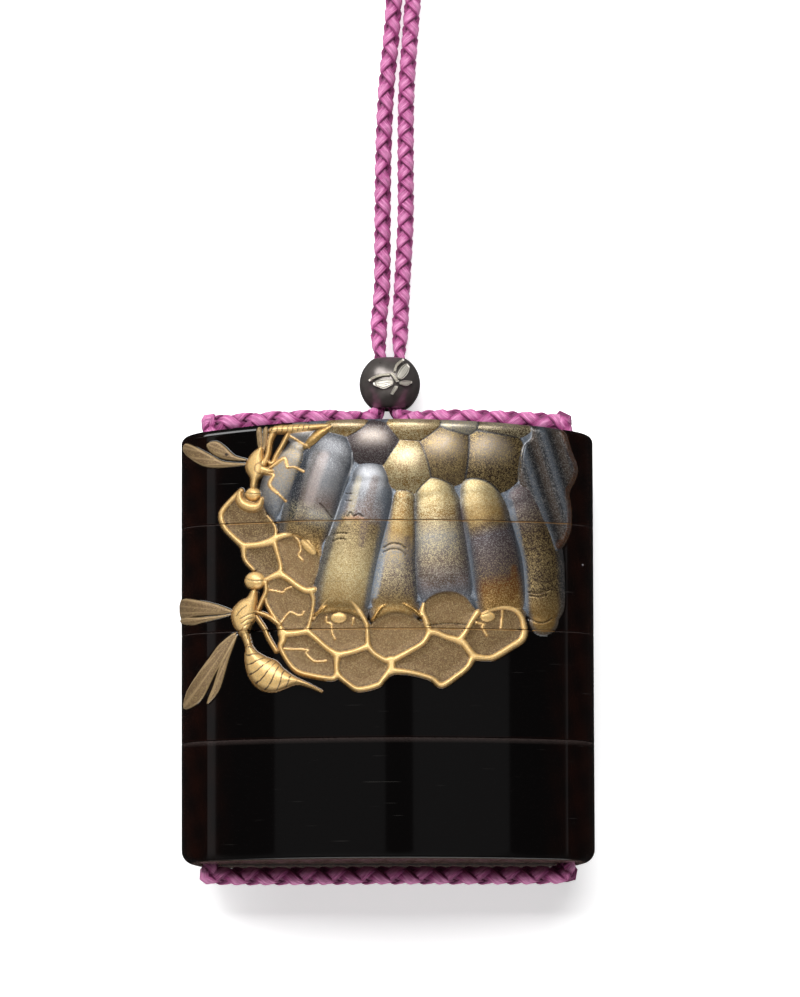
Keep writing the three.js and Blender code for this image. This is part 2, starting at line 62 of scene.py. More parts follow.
def corner_mm(node, high):
    """One corner of a node's box, in millimetres."""
    return np.array(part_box(node)[1 if high else 0]) / MM


# ------------------------------------------------------------------ sizes of the case, in millimetres

BASE_Y = corner_mm("lower_case", False)[1]
LOWER_SEAM_Y = corner_mm("middle_case", False)[1]
MIDDLE_SEAM_Y = corner_mm("upper_case", False)[1]
LID_SEAM_Y = corner_mm("lid", False)[1]
TOP_Y = corner_mm("lid", True)[1]
HALF_WIDTH = 31.0
HALF_DEPTH = 11.5
AXIS_Z = corner_mm("lower_case", True)[2] - HALF_DEPTH
FACE_RADIUS = 70.0
SEAM_GAP = 0.07
SEAM_EASE = 0.06
LID_DOME_RADIUS = 341.0
LID_EDGE_RADIUS = 1.1
BASE_EDGE_RADIUS = 0.5
BASE_CORNER_EXTRA = 1.6

OUTER_WALL = 1.3
FIT_GAP = 0.3
RISER_WALL = 0.9
RISER_HEIGHT = 5.0
RISER_HALF_WIDTH = 23.5
FLOOR = 1.5
BASE_FLOOR = 2.0
LID_ROOF = 2.2
CORNER = 1.2
CHANNEL_X = 26.7
CHANNEL_RADIUS = 1.9

SIDE_RADIUS = (FACE_RADIUS**2 - (FACE_RADIUS - HALF_DEPTH) ** 2 - HALF_WIDTH**2) / (
    2 * (FACE_RADIUS - HALF_WIDTH)
)
SIDE_CENTRE = HALF_WIDTH - SIDE_RADIUS
FACE_ANGLE = math.atan2(SIDE_CENTRE, FACE_RADIUS - HALF_DEPTH)
RISER_INSET = OUTER_WALL + FIT_GAP
POCKET_INSET = RISER_INSET + RISER_WALL
POCKET_HALF_WIDTH = RISER_HALF_WIDTH - RISER_WALL
RECESS_HALF_WIDTH = RISER_HALF_WIDTH + FIT_GAP
RECESS_DEPTH = RISER_HEIGHT + FIT_GAP

# ------------------------------------------------------------------ colours

HEX = {
    "lacquer": "#050404",
    "brown_lacquer": "#1E0A05",
    "gold": "#E9BF7A",
    "gold_deep": "#A8854C",
    # painted shade: the darker gold down the flanks of raised gold
    "gold_flank_shade": "#9A703A",
    "cell_floor": "#715530",
    "silver": "#9C9DA0",
    "blue_grey": "#5C646E",
    # painted shade in the valleys and down the flanks of the long cells
    "groove": "#34383F",
    "grey": "#85827F",
    "brown": "#4C3D30",
    "purple_brown": "#463A3B",
    "dark_brown": "#291B12",
    "dust_gold": "#A08A5C",
    "dust_pale": "#C8BA92",
    "amber": "#80602F",
    "wing": "#6E563C",
    "wing_edge": "#C9AC80",
    "copper": "#9A6A4C",
    "slab": "#232427",
    "pale": "#C6C8CB",
    # painted shade on the open cells' floors
    "floor_shade": "#50391A",
    "ink": "#2A1A0C",
    # painted shade along the creases and down one long cell's flank
    "shade_blue": "#20242B",
    "silk": "#AD4785",
    # painted shade and painted highlight of the silk, mixed with its own darker and lighter threads
    "silk_dark": "#742A58",
    "silk_light": "#E290C0",
    "bead": "#7A7470",
    "inlay": "#D5D0C4",
    "table": "#F6F6F6",
    "mauve": "#66564F",
    "mauve_light": "#A99C97",
    # painted highlight on the upper side of each dome
    "pad_highlight": "#C4B8AA",
    "silver_dull": "#6C6D70",
    "silver_blue": "#8C96A2",
    "rust": "#6B3D12",
    "seam": "#3A3230",
    "seam_gold": "#A8793E",
    # painted reflection of the table on the underside
    "underside": "#524039",
    "scratch": "#3A3836",
    "tarnish": "#3A3532",
}


def linear(value):
    """An sRGB hex colour as linear red, green and blue."""
    channels = [int(value[i : i + 2], 16) / 255 for i in (1, 3, 5)]
    return [c / 12.92 if c <= 0.04045 else ((c + 0.055) / 1.055) ** 2.4 for c in channels]


def tone(name):
    """A named colour, as an array of linear red, green and blue."""
    return np.array(linear(HEX[name]))


def between(one, other, share):
    """Two colours, each a name or an array, mixed by a share from 0 to 1 at each place."""
    one, other = (tone(colour) if isinstance(colour, str) else colour for colour in (one, other))
    return one + share[:, None] * (other - one)


# ----------------------------------------------------- the relief's drawing, in millimetres on the front

# The drawing's level lines sink towards the sides by this share of how far the front falls away.
LEVEL_SAG = 0.117
# The drawing is a little larger than the face it lies on, and set off from its middle.
SEEN_SCALE = 1.0068
SEEN_SHIFT = (-0.2, 0.22)

# The nest's long closed cells, from the top down: (x, y, half width, height), then the tones on the way
# along: (place along, ground, flake, dust).
LONG_CELLS = [
    ([(-13.7, 28.6, 1.4, 0.8), (-14.4, 27.0, 2.2, 1.0), (-15.9, 24.4, 2.6, 1.05), (-17.1, 21.6, 2.3, 1.0),
      (-17.1, 19.4, 1.3, 0.8), (-16.8, 17.9, 0.5, 0.5)],
     [(0, "grey", "dust_gold", 0.5), (0.4, "grey", "dust_gold", 0.4), (1, "blue_grey", "silver", 0.35)]),
    ([(-8.45, 27.6, 3.35, 1.5), (-9.65, 25, 3.7, 1.7), (-10.9, 21.5, 3.8, 1.7), (-12.05, 18, 3.95, 1.5),
      (-12.6, 15.5, 3.6, 1.2), (-12.4, 13, 2.8, 0.9)],
     [(0, "silver_dull", "silver", 0.3), (0.3, "silver_dull", "grey", 0.3), (0.5, "mauve", "grey", 0.4),
      (0.6, "grey", "dust_pale", 0.45), (0.74, "brown", "dust_gold", 0.7), (1, "amber", "gold", 0.5)]),
    ([(-2.6, 23.9, 2.8, 1.4), (-2.85, 22, 3.4, 1.55), (-3.95, 18, 3.95, 1.65), (-5.1, 14, 4.15, 1.65),
      (-6.0, 10, 4.2, 1.55), (-6.85, 6, 4.15, 1.25), (-7.1, 4.2, 4.0, 0.95)],
     [(0, "silver", "silver", 0.5), (0.12, "silver_dull", "silver", 0.5), (0.27, "mauve", "silver", 0.45),
      (0.33, "brown", "dust_gold", 0.8), (0.7, "dust_gold", "dust_pale", 0.8),
      (1, "amber", "dust_gold", 0.6)]),
    ([(2.4, 21.0, 1.8, 1.05), (2.1, 18, 2.3, 1.15), (1.5, 14, 3.0, 1.25), (0.95, 10, 3.5, 1.25),
      (0.8, 6.5, 3.9, 1.05), (0.8, 4.6, 3.9, 0.85)],
     [(0, "amber", "dust_pale", 0.75), (0.3, "amber", "dust_gold", 0.9),
      (0.5, "grey", "dust_gold", 0.8), (0.7, "mauve", "dust_pale", 0.6), (0.88, "brown", "dust_gold", 0.7),
      (1, "amber", "dust_gold", 0.5)]),
    ([(7.05, 21.8, 3.1, 1.25), (7.4, 19.8, 3.6, 1.4), (7.75, 16, 3.85, 1.5), (8.05, 12, 4.2, 1.45),
      (8.5, 8, 4.4, 1.2), (8.8, 5.5, 4.4, 0.85)],
     [(0, "dust_gold", "dust_pale", 0.8), (0.2, "amber", "dust_pale", 0.8),
      (0.4, "grey", "dust_pale", 0.6), (0.62, "mauve", "dust_pale", 0.5), (0.82, "mauve", "silver", 0.3),
      (1, "blue_grey", "silver", 0.4)]),
    ([(13.85, 22.2, 3.0, 1.25), (14.1, 20, 3.4, 1.4), (14.9, 17, 3.6, 1.55), (15.95, 13, 3.9, 1.6),
      (16.6, 9, 3.85, 1.5), (17.0, 5.5, 3.75, 1.1), (17.1, 4.2, 3.7, 0.9)],
     [(0, "dust_gold", "dust_pale", 0.8), (0.2, "amber", "dust_gold", 0.9),
      (0.3, "brown", "dust_gold", 0.5), (0.38, "purple_brown", "silver", 0.1),
      (0.7, "purple_brown", "dust_gold", 0.2), (0.8, "rust", "dust_gold", 0.5), (1, "amber", "gold", 0.5)]),
    ([(20.5, 20.9, 2.7, 1.1), (21.2, 18.9, 3.1, 1.25), (22.2, 15.5, 3.15, 1.35), (23.1, 12, 3.0, 1.4),
      (23.4, 8, 2.9, 1.35), (23.5, 4.5, 2.8, 1.15), (23.4, 2.6, 2.2, 0.9)],
     [(0, "purple_brown", "grey", 0.3), (0.3, "dark_brown", "dust_gold", 0.25),
      (0.75, "dark_brown", "dust_gold", 0.6), (1, "amber", "dust_gold", 0.4)]),
    ([(-12.5, 28.9, 0.5, 0.9), (-11.4, 29.8, 0.85, 1.15), (-10.0, 31.0, 0.8, 1.15), (-8.6, 31.9, 0.5, 0.9)],
     [(0, "gold_deep", "dust_gold", 0.4), (1, "gold_deep", "gold", 0.5)]),
]

# The rounded ends of the cells behind them: x, y, radius across, radius along, height, ground, flake, dust.
PADS = [
    (-13.2, 31.0, 2.1, 1.6, 0.85, "grey", "silver", 0.2),
    (-2.2, 29.3, 3.7, 3.2, 1.35, "purple_brown", "grey", 0.3),
    (3.3, 26.0, 3.6, 3.7, 1.55, "amber", "dust_pale", 1.0),
    (8.8, 27.7, 4.3, 4.3, 1.5, "brown", "dust_gold", 0.7),
    (15.5, 27.1, 4.6, 4.8, 1.45, "dark_brown", "dust_gold", 0.6),
    (-6.0, 32.0, 3.4, 1.5, 1.1, "amber", "dust_pale", 0.6),
    (4.1, 31.9, 4.0, 2.3, 1.3, "amber", "dust_pale", 0.8),
    (10.8, 31.9, 3.4, 1.7, 1.15, "grey", "dust_pale", 0.6),
    (17.0, 31.6, 4.4, 1.8, 1.15, "brown", "dust_pale", 0.6),
]

# The nest's body under them all, as an outline.
NEST_BODY = [(-14.5, 30), (-12.3, 32.2), (-8, 33.6), (22.4, 33.6), (22, 20), (24, 14), (24.5, 3),
             (20.5, 3.5), (17, 5.5), (13.3, 5), (8.6, 7.5), (5, 5), (1, 5.5), (-3, 4), (-7, 5.6),
             (-11.2, 6), (-10.9, 12), (-15.5, 17), (-17.2, 17.6), (-19.2, 21.5), (-17.5, 26)]
BODY_HEIGHT = 0.5

# The broad dark slab at the nest's right end, its silver left edge and its ragged rust-brown right edge.
SLAB = [(21.7, 32.4), (26.3, 31.6), (27.6, 28.4), (28.6, 25.6), (28.1, 23.4), (27.3, 21.9), (27.6, 19.5),
        (27.6, 17.1), (27.3, 15.5), (26.2, 13.4), (25.0, 12.9), (23.6, 16.5), (20.4, 21.5), (19.6, 23.6),
        (19.8, 26.1), (20.3, 28.8), (21.5, 30.2)]
SLAB_HEIGHT = 0.95
SLAB_LEFT_EDGE = [(21.7, 31.8), (21.6, 30.3), (20.4, 28.9), (19.8, 26.3), (19.6, 23.6)]
SLAB_RIGHT_EDGE = [(26.5, 31.0), (27.6, 28.3), (28.5, 25.6), (28.0, 23.3), (27.2, 21.9), (27.5, 19.5),
                   (27.5, 17.1), (27.1, 15.5), (25.7, 13.9)]

# The open cells of the comb, as outlines.
OPEN_CELLS = [
    [(-22.2, 22.3), (-23.7, 20.9), (-25.2, 18.9), (-24.75, 16.9), (-23.3, 15.3), (-21.8, 14.0),
     (-19.5, 14.2), (-17.6, 14.7), (-16.95, 15.7), (-17.1, 17.0), (-18.2, 18.6), (-19.2, 20.6)],
    [(-21.8, 14.0), (-19.5, 14.2), (-17.3, 14.8), (-16.7, 12.9), (-16.2, 11.0), (-16.3, 9.8), (-17.4, 9.4),
     (-18.4, 8.9), (-20.3, 10.4), (-21.6, 12.0)],
    [(-17.3, 14.8), (-16.4, 15.5), (-14.3, 15.7), (-12.7, 15.0), (-11.1, 13.4), (-10.4, 12.2),
     (-10.4, 10.8), (-11.1, 8.6), (-11.4, 7.4), (-12.4, 7.3), (-13.7, 8.0), (-15.0, 9.0), (-16.3, 9.8),
     (-16.2, 11.0), (-16.7, 12.9)],
    [(-16.3, 9.8), (-15.0, 9.0), (-13.7, 8.0), (-12.4, 7.3), (-11.5, 7.0), (-11.3, 6.0), (-11.4, 4.4),
     (-11.9, 2.2), (-12.3, 1.2), (-14.2, 0.9), (-16.0, 1.1), (-16.5, 2.3), (-17.6, 4.0), (-18.4, 5.6),
     (-18.4, 8.9)],
    [(-16.0, 0.6), (-16.3, -1.3), (-15.0, -3.5), (-13.7, -4.8), (-11.8, -5.4), (-8.6, -5.9), (-7.7, -5.3),
     (-7.7, -2.4), (-9.3, -1.3), (-10.9, 0.1), (-12.2, 1.2), (-14.2, 0.9)],
    [(-12.2, 1.2), (-10.9, 3.2), (-9.3, 3.9), (-6.9, 4.1), (-4.9, 3.5), (-3.7, 2.4), (-3.15, 1.2),
     (-3.1, -1.1), (-5.4, -1.9), (-7.7, -2.4), (-9.3, -1.3), (-10.9, 0.1)],
    [(-7.7, -2.4), (-5.4, -1.9), (-3.1, -1.1), (-2.1, -2.2), (-0.6, -3.1), (0.4, -3.1), (0.2, -4.8),
     (-0.9, -6.1), (-1.7, -6.9), (-4.5, -7.5), (-6.1, -6.6), (-7.7, -5.3)],
    [(-3.1, -1.1), (-3.2, 1.4), (-2.3, 2.4), (-1.1, 3.4), (0.6, 4.0), (2.5, 3.8), (4.3, 2.9), (5.6, 2.2),
     (6.2, 1.0), (5.2, -0.6), (3.4, -1.7), (1.2, -2.9), (-0.6, -3.1), (-2.1, -2.2)],
    [(6.2, 1.0), (5.6, 2.8), (5.1, 4.0), (5.6, 5.6), (6.7, 6.5), (8.4, 7.0), (10.2, 6.9), (11.7, 6.1),
     (12.6, 4.9), (13.3, 3.9), (12.5, 2.6), (11.6, 1.0), (10.7, -0.3), (8.6, 0.3), (7.2, 0.9)],
    [(10.7, -0.3), (11.6, 1.0), (12.5, 2.6), (13.4, 3.9), (14.1, 3.7), (16.2, 4.45), (17.8, 4.6),
     (19.2, 4.1), (20.0, 3.1), (20.3, 2.0), (20.4, 0.8), (19.9, -0.3), (18.5, -1.2), (16.9, -2.2),
     (15.6, -2.9), (14.4, -2.9), (12.8, -2.7), (12.1, -1.8), (11.3, -0.7)],
    [(0.4, -3.1), (1.2, -2.9), (3.4, -1.7), (5.2, -0.6), (6.2, 1.0), (7.2, 0.9), (8.6, 0.3), (10.7, -0.3),
     (11.3, -0.7), (12.1, -1.8), (12.8, -2.7), (11.8, -4.3), (10.2, -5.6), (8.0, -6.95), (6.6, -6.0),
     (4.9, -5.4), (2.9, -4.95), (0.4, -4.8)],
]
CELL_DEPTH = 0.22
# How much painted shade darkens each open cell's floor, from 0 to 1.
CELL_SHADES = (0.85, 0.8, 0.1, 0.15, 0.35, 0.1, 0.25, 0.1, 0.25, 0.6, 0.45)

# The gold rims between and round the cells: (x, y, half width).
RIMS = [
    [(-22.2, 22.3, 0.35), (-23.7, 20.9, 0.3), (-25.2, 18.9, 0.35), (-24.75, 16.9, 0.3), (-23.3, 15.3, 0.32),
     (-21.8, 14.0, 0.42)],
    [(-21.8, 14.0, 0.42), (-19.5, 14.2, 0.42), (-17.5, 14.7, 0.55)],
    [(-17.5, 14.7, 0.45), (-16.95, 15.7, 0.22), (-17.1, 17.0, 0.15), (-18.2, 18.5, 0.1)],
    [(-17.5, 14.7, 0.5), (-16.4, 15.4, 0.4), (-14.3, 15.7, 0.25), (-12.7, 15.0, 0.1), (-11.1, 13.4, 0.07)],
    [(-21.8, 14.0, 0.4), (-21.6, 12.0, 0.25), (-20.3, 10.4, 0.2)],
    [(-17.2, 14.7, 0.4), (-16.7, 12.9, 0.28), (-16.2, 11.0, 0.28), (-16.3, 9.8, 0.45)],
    [(-16.3, 9.8, 0.5), (-17.4, 9.4, 0.4), (-18.4, 8.9, 0.3)],
    [(-16.3, 9.8, 0.5), (-15.0, 9.0, 0.4), (-13.7, 8.0, 0.4), (-12.4, 7.3, 0.42), (-11.2, 7.4, 0.4)],
    [(-11.6, 7.2, 0.35), (-11.3, 6.0, 0.2), (-11.4, 4.4, 0.2), (-11.9, 2.2, 0.25), (-12.3, 1.2, 0.4)],
    [(-18.4, 8.9, 0.3), (-18.45, 7.0, 0.2), (-18.4, 5.6, 0.2), (-17.6, 4.0, 0.22), (-16.5, 2.3, 0.32),
     (-16.0, 1.0, 0.45)],
    [(-16.0, 0.8, 0.5), (-14.2, 0.85, 0.4), (-12.2, 1.2, 0.4)],
    [(-15.8, 0.9, 0.55), (-15.9, -0.2, 0.45), (-16.2, -1.3, 0.3), (-15.0, -3.5, 0.25), (-13.7, -4.8, 0.3),
     (-11.8, -5.4, 0.3), (-8.6, -5.9, 0.32), (-7.7, -5.3, 0.4)],
    [(-12.2, 1.2, 0.4), (-10.9, 0.1, 0.35), (-9.3, -1.3, 0.32), (-7.7, -2.4, 0.5)],
    [(-7.7, -2.4, 0.5), (-7.8, -4.0, 0.35), (-7.7, -5.3, 0.4)],
    [(-7.7, -2.4, 0.45), (-5.4, -1.9, 0.33), (-3.1, -1.1, 0.42)],
    [(-3.1, -1.1, 0.4), (-3.15, 0.6, 0.3), (-3.2, 2.0, 0.25)],
    [(-7.7, -5.3, 0.35), (-6.1, -6.6, 0.28), (-4.5, -7.5, 0.34), (-1.7, -6.9, 0.34), (-0.9, -6.1, 0.34),
     (0.2, -4.8, 0.45)],
    [(-3.1, -1.1, 0.4), (-2.1, -2.2, 0.33), (-0.6, -3.1, 0.38), (0.4, -3.2, 0.5)],
    [(0.4, -3.2, 0.6), (0.45, -4.0, 0.55), (0.4, -4.8, 0.55)],
    [(0.4, -3.2, 0.5), (1.2, -2.9, 0.42), (3.4, -1.7, 0.36), (5.2, -0.6, 0.36), (6.2, 1.0, 0.42)],
    [(0.4, -4.7, 0.45), (2.9, -4.95, 0.32), (4.9, -5.4, 0.3), (6.6, -6.0, 0.3), (8.0, -6.95, 0.36),
     (10.2, -5.6, 0.34), (11.8, -4.3, 0.34), (12.7, -2.7, 0.45)],
    [(6.2, 1.0, 0.42), (5.6, 2.8, 0.4), (5.1, 4.0, 0.4), (5.3, 5.2, 0.2)],
    [(6.2, 1.0, 0.4), (7.2, 0.9, 0.38), (8.6, 0.3, 0.36), (10.7, -0.3, 0.5)],
    [(10.7, -0.3, 0.5), (11.6, 1.0, 0.36), (12.5, 2.6, 0.34), (13.4, 3.9, 0.4)],
    [(10.7, -0.3, 0.5), (11.3, -0.7, 0.5), (12.1, -1.8, 0.46), (12.8, -2.7, 0.5)],
    [(12.8, -2.7, 0.45), (14.4, -2.9, 0.36), (15.6, -2.85, 0.4), (16.9, -2.2, 0.42), (18.5, -1.2, 0.42),
     (19.9, -0.3, 0.45), (20.4, 0.8, 0.45), (20.3, 2.0, 0.4), (20.0, 3.1, 0.36), (19.2, 4.1, 0.3),
     (17.8, 4.6, 0.3), (16.2, 4.45, 0.25), (14.1, 3.7, 0.15)],
    [(-11.2, 3.0, 0.12), (-9.8, 5.2, 0.1), (-8.3, 6.4, 0.2), (-6.4, 6.1, 0.3), (-5.0, 5.0, 0.3),
     (-3.9, 3.4, 0.3), (-3.2, 2.1, 0.3)],
]
RIM_HEIGHT = 0.8
RIM_SPREAD = 0.02

# Soft amber lips inside the mouths of two long cells: (x, y, half width).
LIPS = [
    [(-2.3, 2.9, 0.35), (-0.9, 4.8, 0.55), (1.4, 5.5, 0.6), (3.4, 4.6, 0.5), (5.0, 3.4, 0.35)],
    [(-11.0, 3.6, 0.3), (-8.8, 5.2, 0.6), (-6.8, 5.2, 0.5), (-5.0, 4.0, 0.4)],
]
LIP_HEIGHT = 0.85

# Larvae in the cells: x, y, radius across, radius along, turn.
LARVAE = [(-7.46, 3.2, 1.2, 0.8, 0.05), (14.9, 3.25, 1.15, 0.75, 0.1), (-12.0, 13.8, 1.55, 0.62, -0.82)]

# Thin gold legs and feelers: half width, then (x, y).
FEELERS = [
    (0.09, [(-18.1, 7.4), (-16.85, 7.2), (-15.9, 7.0), (-15.4, 7.5), (-14.6, 7.8)]),
    (0.09, [(-16.3, 2.3), (-14.9, 4.0), (-13.7, 3.6), (-13.05, 3.6), (-12.75, 4.1)]),
    (0.09, [(-15.75, -1.46), (-12.3, -1.6), (-12.4, -2.1), (-11.6, -3.0), (-10.85, -3.36), (-9.4, -3.25)]),
    (0.1, [(-9.3, 3.3), (-9.3, 2.55), (-8.6, 2.2), (-8.45, 0.9), (-8.06, 0.03)]),
    (0.1, [(-5.3, 3.1), (-5.35, 2.2)]),
    (0.1, [(-14.3, 15.6), (-13.5, 14.7), (-13.2, 13.4), (-13.5, 12.6), (-12.9, 11.8)]),
    (0.13, [(13.2, 2.4), (14.35, 2.06), (14.1, 1.7), (14.8, 0.46)]),
    (0.13, [(17.1, 4.2), (17.05, 3.0), (16.9, 1.5)]),
    (0.08, [(-14.95, 30.6), (-13.4, 29.7), (-11.9, 28.8)]),
    (0.08, [(-15.15, 25.7), (-14.0, 25.75), (-12.7, 25.1)]),
    (0.08, [(-16.7, 21.9), (-15.4, 20.7)]),
]

# The wasps' bodies: height of the back, then stations of (x, y, half width).
WASP_BODIES = [
    (1.5, [(-20.25, 7.0, 0.42), (-20.6, 5.8, 0.8), (-21.3, 4.7, 1.5), (-21.75, 3.6, 1.85),
           (-21.9, 2.4, 1.45), (-21.75, 1.2, 0.75)]),
    (1.2, [(-21.65, 1.0, 0.55), (-21.15, -0.6, 0.42), (-20.9, -1.6, 0.5)]),
    (1.5, [(-19.2, 28.6, 0.3), (-19.7, 27.4, 1.0), (-19.95, 26.1, 1.45), (-20.0, 24.9, 1.1),
           (-20.15, 24.0, 0.5), (-20.3, 22.9, 0.38)]),
    (1.2, [(-19.3, 25.6, 0.8), (-18.2, 25.3, 0.5), (-17.5, 25.2, 0.2)]),
    (1.2, [(-18.7, 26.4, 0.45), (-18.1, 27.9, 0.32), (-17.8, 29.8, 0.32), (-17.2, 31.3, 0.45)]),
]
ABDOMENS = [
    (1.6, 8.5, [(-20.95, -1.3, 0.45), (-20.5, -2.7, 1.15), (-19.5, -4.2, 1.95), (-18.3, -5.25, 2.35),
                (-17.0, -5.85, 2.1), (-15.6, -6.1, 1.3), (-14.3, -6.25, 0.6), (-13.3, -6.45, 0.3),
                (-11.8, -7.0, 0.16), (-10.1, -7.8, 0.08)]),
    (1.3, 8.0, [(-17.5, 31.4, 0.4), (-16.5, 31.55, 0.6), (-14.5, 31.6, 0.6), (-12.5, 31.75, 0.5),
                (-10.6, 31.9, 0.35), (-9.0, 32.05, 0.15)]),
]
CRESCENT = [(-22.4, 22.0, 0.3), (-22.4, 21.0, 0.55), (-21.7, 20.2, 0.7), (-20.4, 19.8, 0.7),
            (-19.5, 20.1, 0.5), (-19.1, 21.0, 0.3)]
HEADS = [(-20.1, 8.75, 1.6, 1.4), (-20.35, 21.8, 1.2, 1.05)]
THICK_LEGS = [
    (0.24, [(-19.9, 4.1), (-18.1, 3.45), (-16.4, 2.2)]),
    (0.24, [(-19.9, 3.4), (-18.6, 1.5), (-18.1, 0.3), (-16.85, -1.8)]),
    (0.26, [(-19.6, 4.5), (-18.9, 6.0), (-18.4, 7.2), (-18.5, 8.5)]),
    (0.28, [(-18.6, 27.0), (-17.5, 26.4), (-16.85, 27.6), (-15.9, 29.2), (-15.1, 30.8)]),
    (0.2, [(-18.3, 25.4), (-16.85, 26.4), (-15.6, 27.1), (-15.15, 25.8)]),
    (0.18, [(-18.4, 24.9), (-17.3, 24.6), (-17.9, 23.2), (-16.7, 21.9)]),
]
LEG_HEIGHT = 1.0
WINGS = [
    [(-23.6, 4.1), (-24.6, 4.7), (-26.4, 5.3), (-28.6, 5.75), (-31.3, 5.85), (-31.3, 3.0), (-29.5, 3.45),
     (-27.5, 3.65), (-25.5, 3.75)],
    [(-23.6, 3.75), (-26, 3.45), (-29, 3.2), (-31.2, 3.0), (-31.2, 2.3), (-29.5, 2.15), (-28, 2.55),
     (-26, 3.05)],
    [(-23.0, 1.0), (-25.4, -0.7), (-27.0, -2.8), (-28.5, -4.8), (-30.4, -7.9), (-30.9, -10.5),
     (-29.3, -10.0), (-27.9, -8.6), (-26.3, -5.4), (-24.1, -1.6)],
    [(-22.85, 0.6), (-24.1, -2.9), (-24.9, -5.7), (-25.7, -7.9), (-27.3, -9.7), (-27.1, -8.7),
     (-26.4, -7.0), (-25.5, -4.2), (-24.2, -1.6)],
    [(-21.4, 26.4), (-24.75, 26.7), (-26.6, 27.6), (-29.0, 28.9), (-30.6, 29.5), (-31.0, 28.6),
     (-30.3, 27.6), (-28.5, 26.4), (-26.6, 25.9), (-23.8, 26.0)],
    [(-21.3, 27.0), (-23.2, 27.6), (-24.6, 28.9), (-26.0, 29.8), (-27.4, 29.4), (-26.8, 28.25),
     (-25.1, 27.3), (-23.2, 27.0)],
    [(-19.2, 27.8), (-19.65, 29.5), (-19.75, 31.7), (-19.2, 31.7), (-18.95, 29.5)],
    [(-18.95, 27.8), (-18.8, 29.5), (-18.75, 31.7), (-18.2, 31.7), (-18.35, 29.5)],
]
WING_HEIGHT = 0.38
WING_SPOT = (-24.4, 27.8)

# Fine engraved lines on the lower wasp's back.
BACK_LINES = [
    [(-22.4, 2.9), (-21.2, 3.5), (-20.2, 3.9)], [(-22.2, 2.2), (-21.3, 2.8), (-20.3, 3.2)],
    [(-21.9, 1.7), (-21.2, 2.2), (-20.5, 2.5)], [(-22.9, 3.4), (-22.3, 4.2), (-21.4, 4.9)],
    [(-21.6, 1.3), (-21.3, 0.6), (-21.2, -0.2)],
]

# Short cracks in the powder: half width, then (x, y).
CRACKS = [
    (0.1, [(-8.4, 15.5), (-7.4, 15.8), (-6.3, 15.7)]),
    (0.1, [(-8.4, 14.6), (-7.4, 14.9), (-6.5, 14.8)]),
    (0.08, [(-6.4, 21.8), (-5.5, 21.7)]),
    (0.08, [(-6.3, 20.7), (-5.6, 20.6)]),
    (0.09, [(-10.3, 20.2), (-9.3, 19.2), (-8.4, 18.1)]),
    (0.09, [(-0.7, 13.6), (0.4, 14.2), (1.7, 14.1), (2.7, 13.5)]),
    (0.07, [(-0.8, 12.9), (0.5, 13.4), (1.8, 13.2), (2.7, 12.5)]),
    (0.1, [(21.1, 6.8), (22.6, 6.6), (24.2, 7.1)]),
    (0.09, [(21.3, 6.3), (22.8, 6.1), (23.8, 6.3)]),
    (0.1, [(21.0, 3.0), (22.4, 2.3), (23.6, 2.3), (24.6, 2.9)]),
    (0.09, [(5.9, 1.95), (8.8, 2.3), (11.6, 2.1)]),
    (0.1, [(-6.2, 18.3), (-5.7, 18.9), (-5.2, 18.3), (-4.4, 18.6), (-3.8, 18.2)]),
]

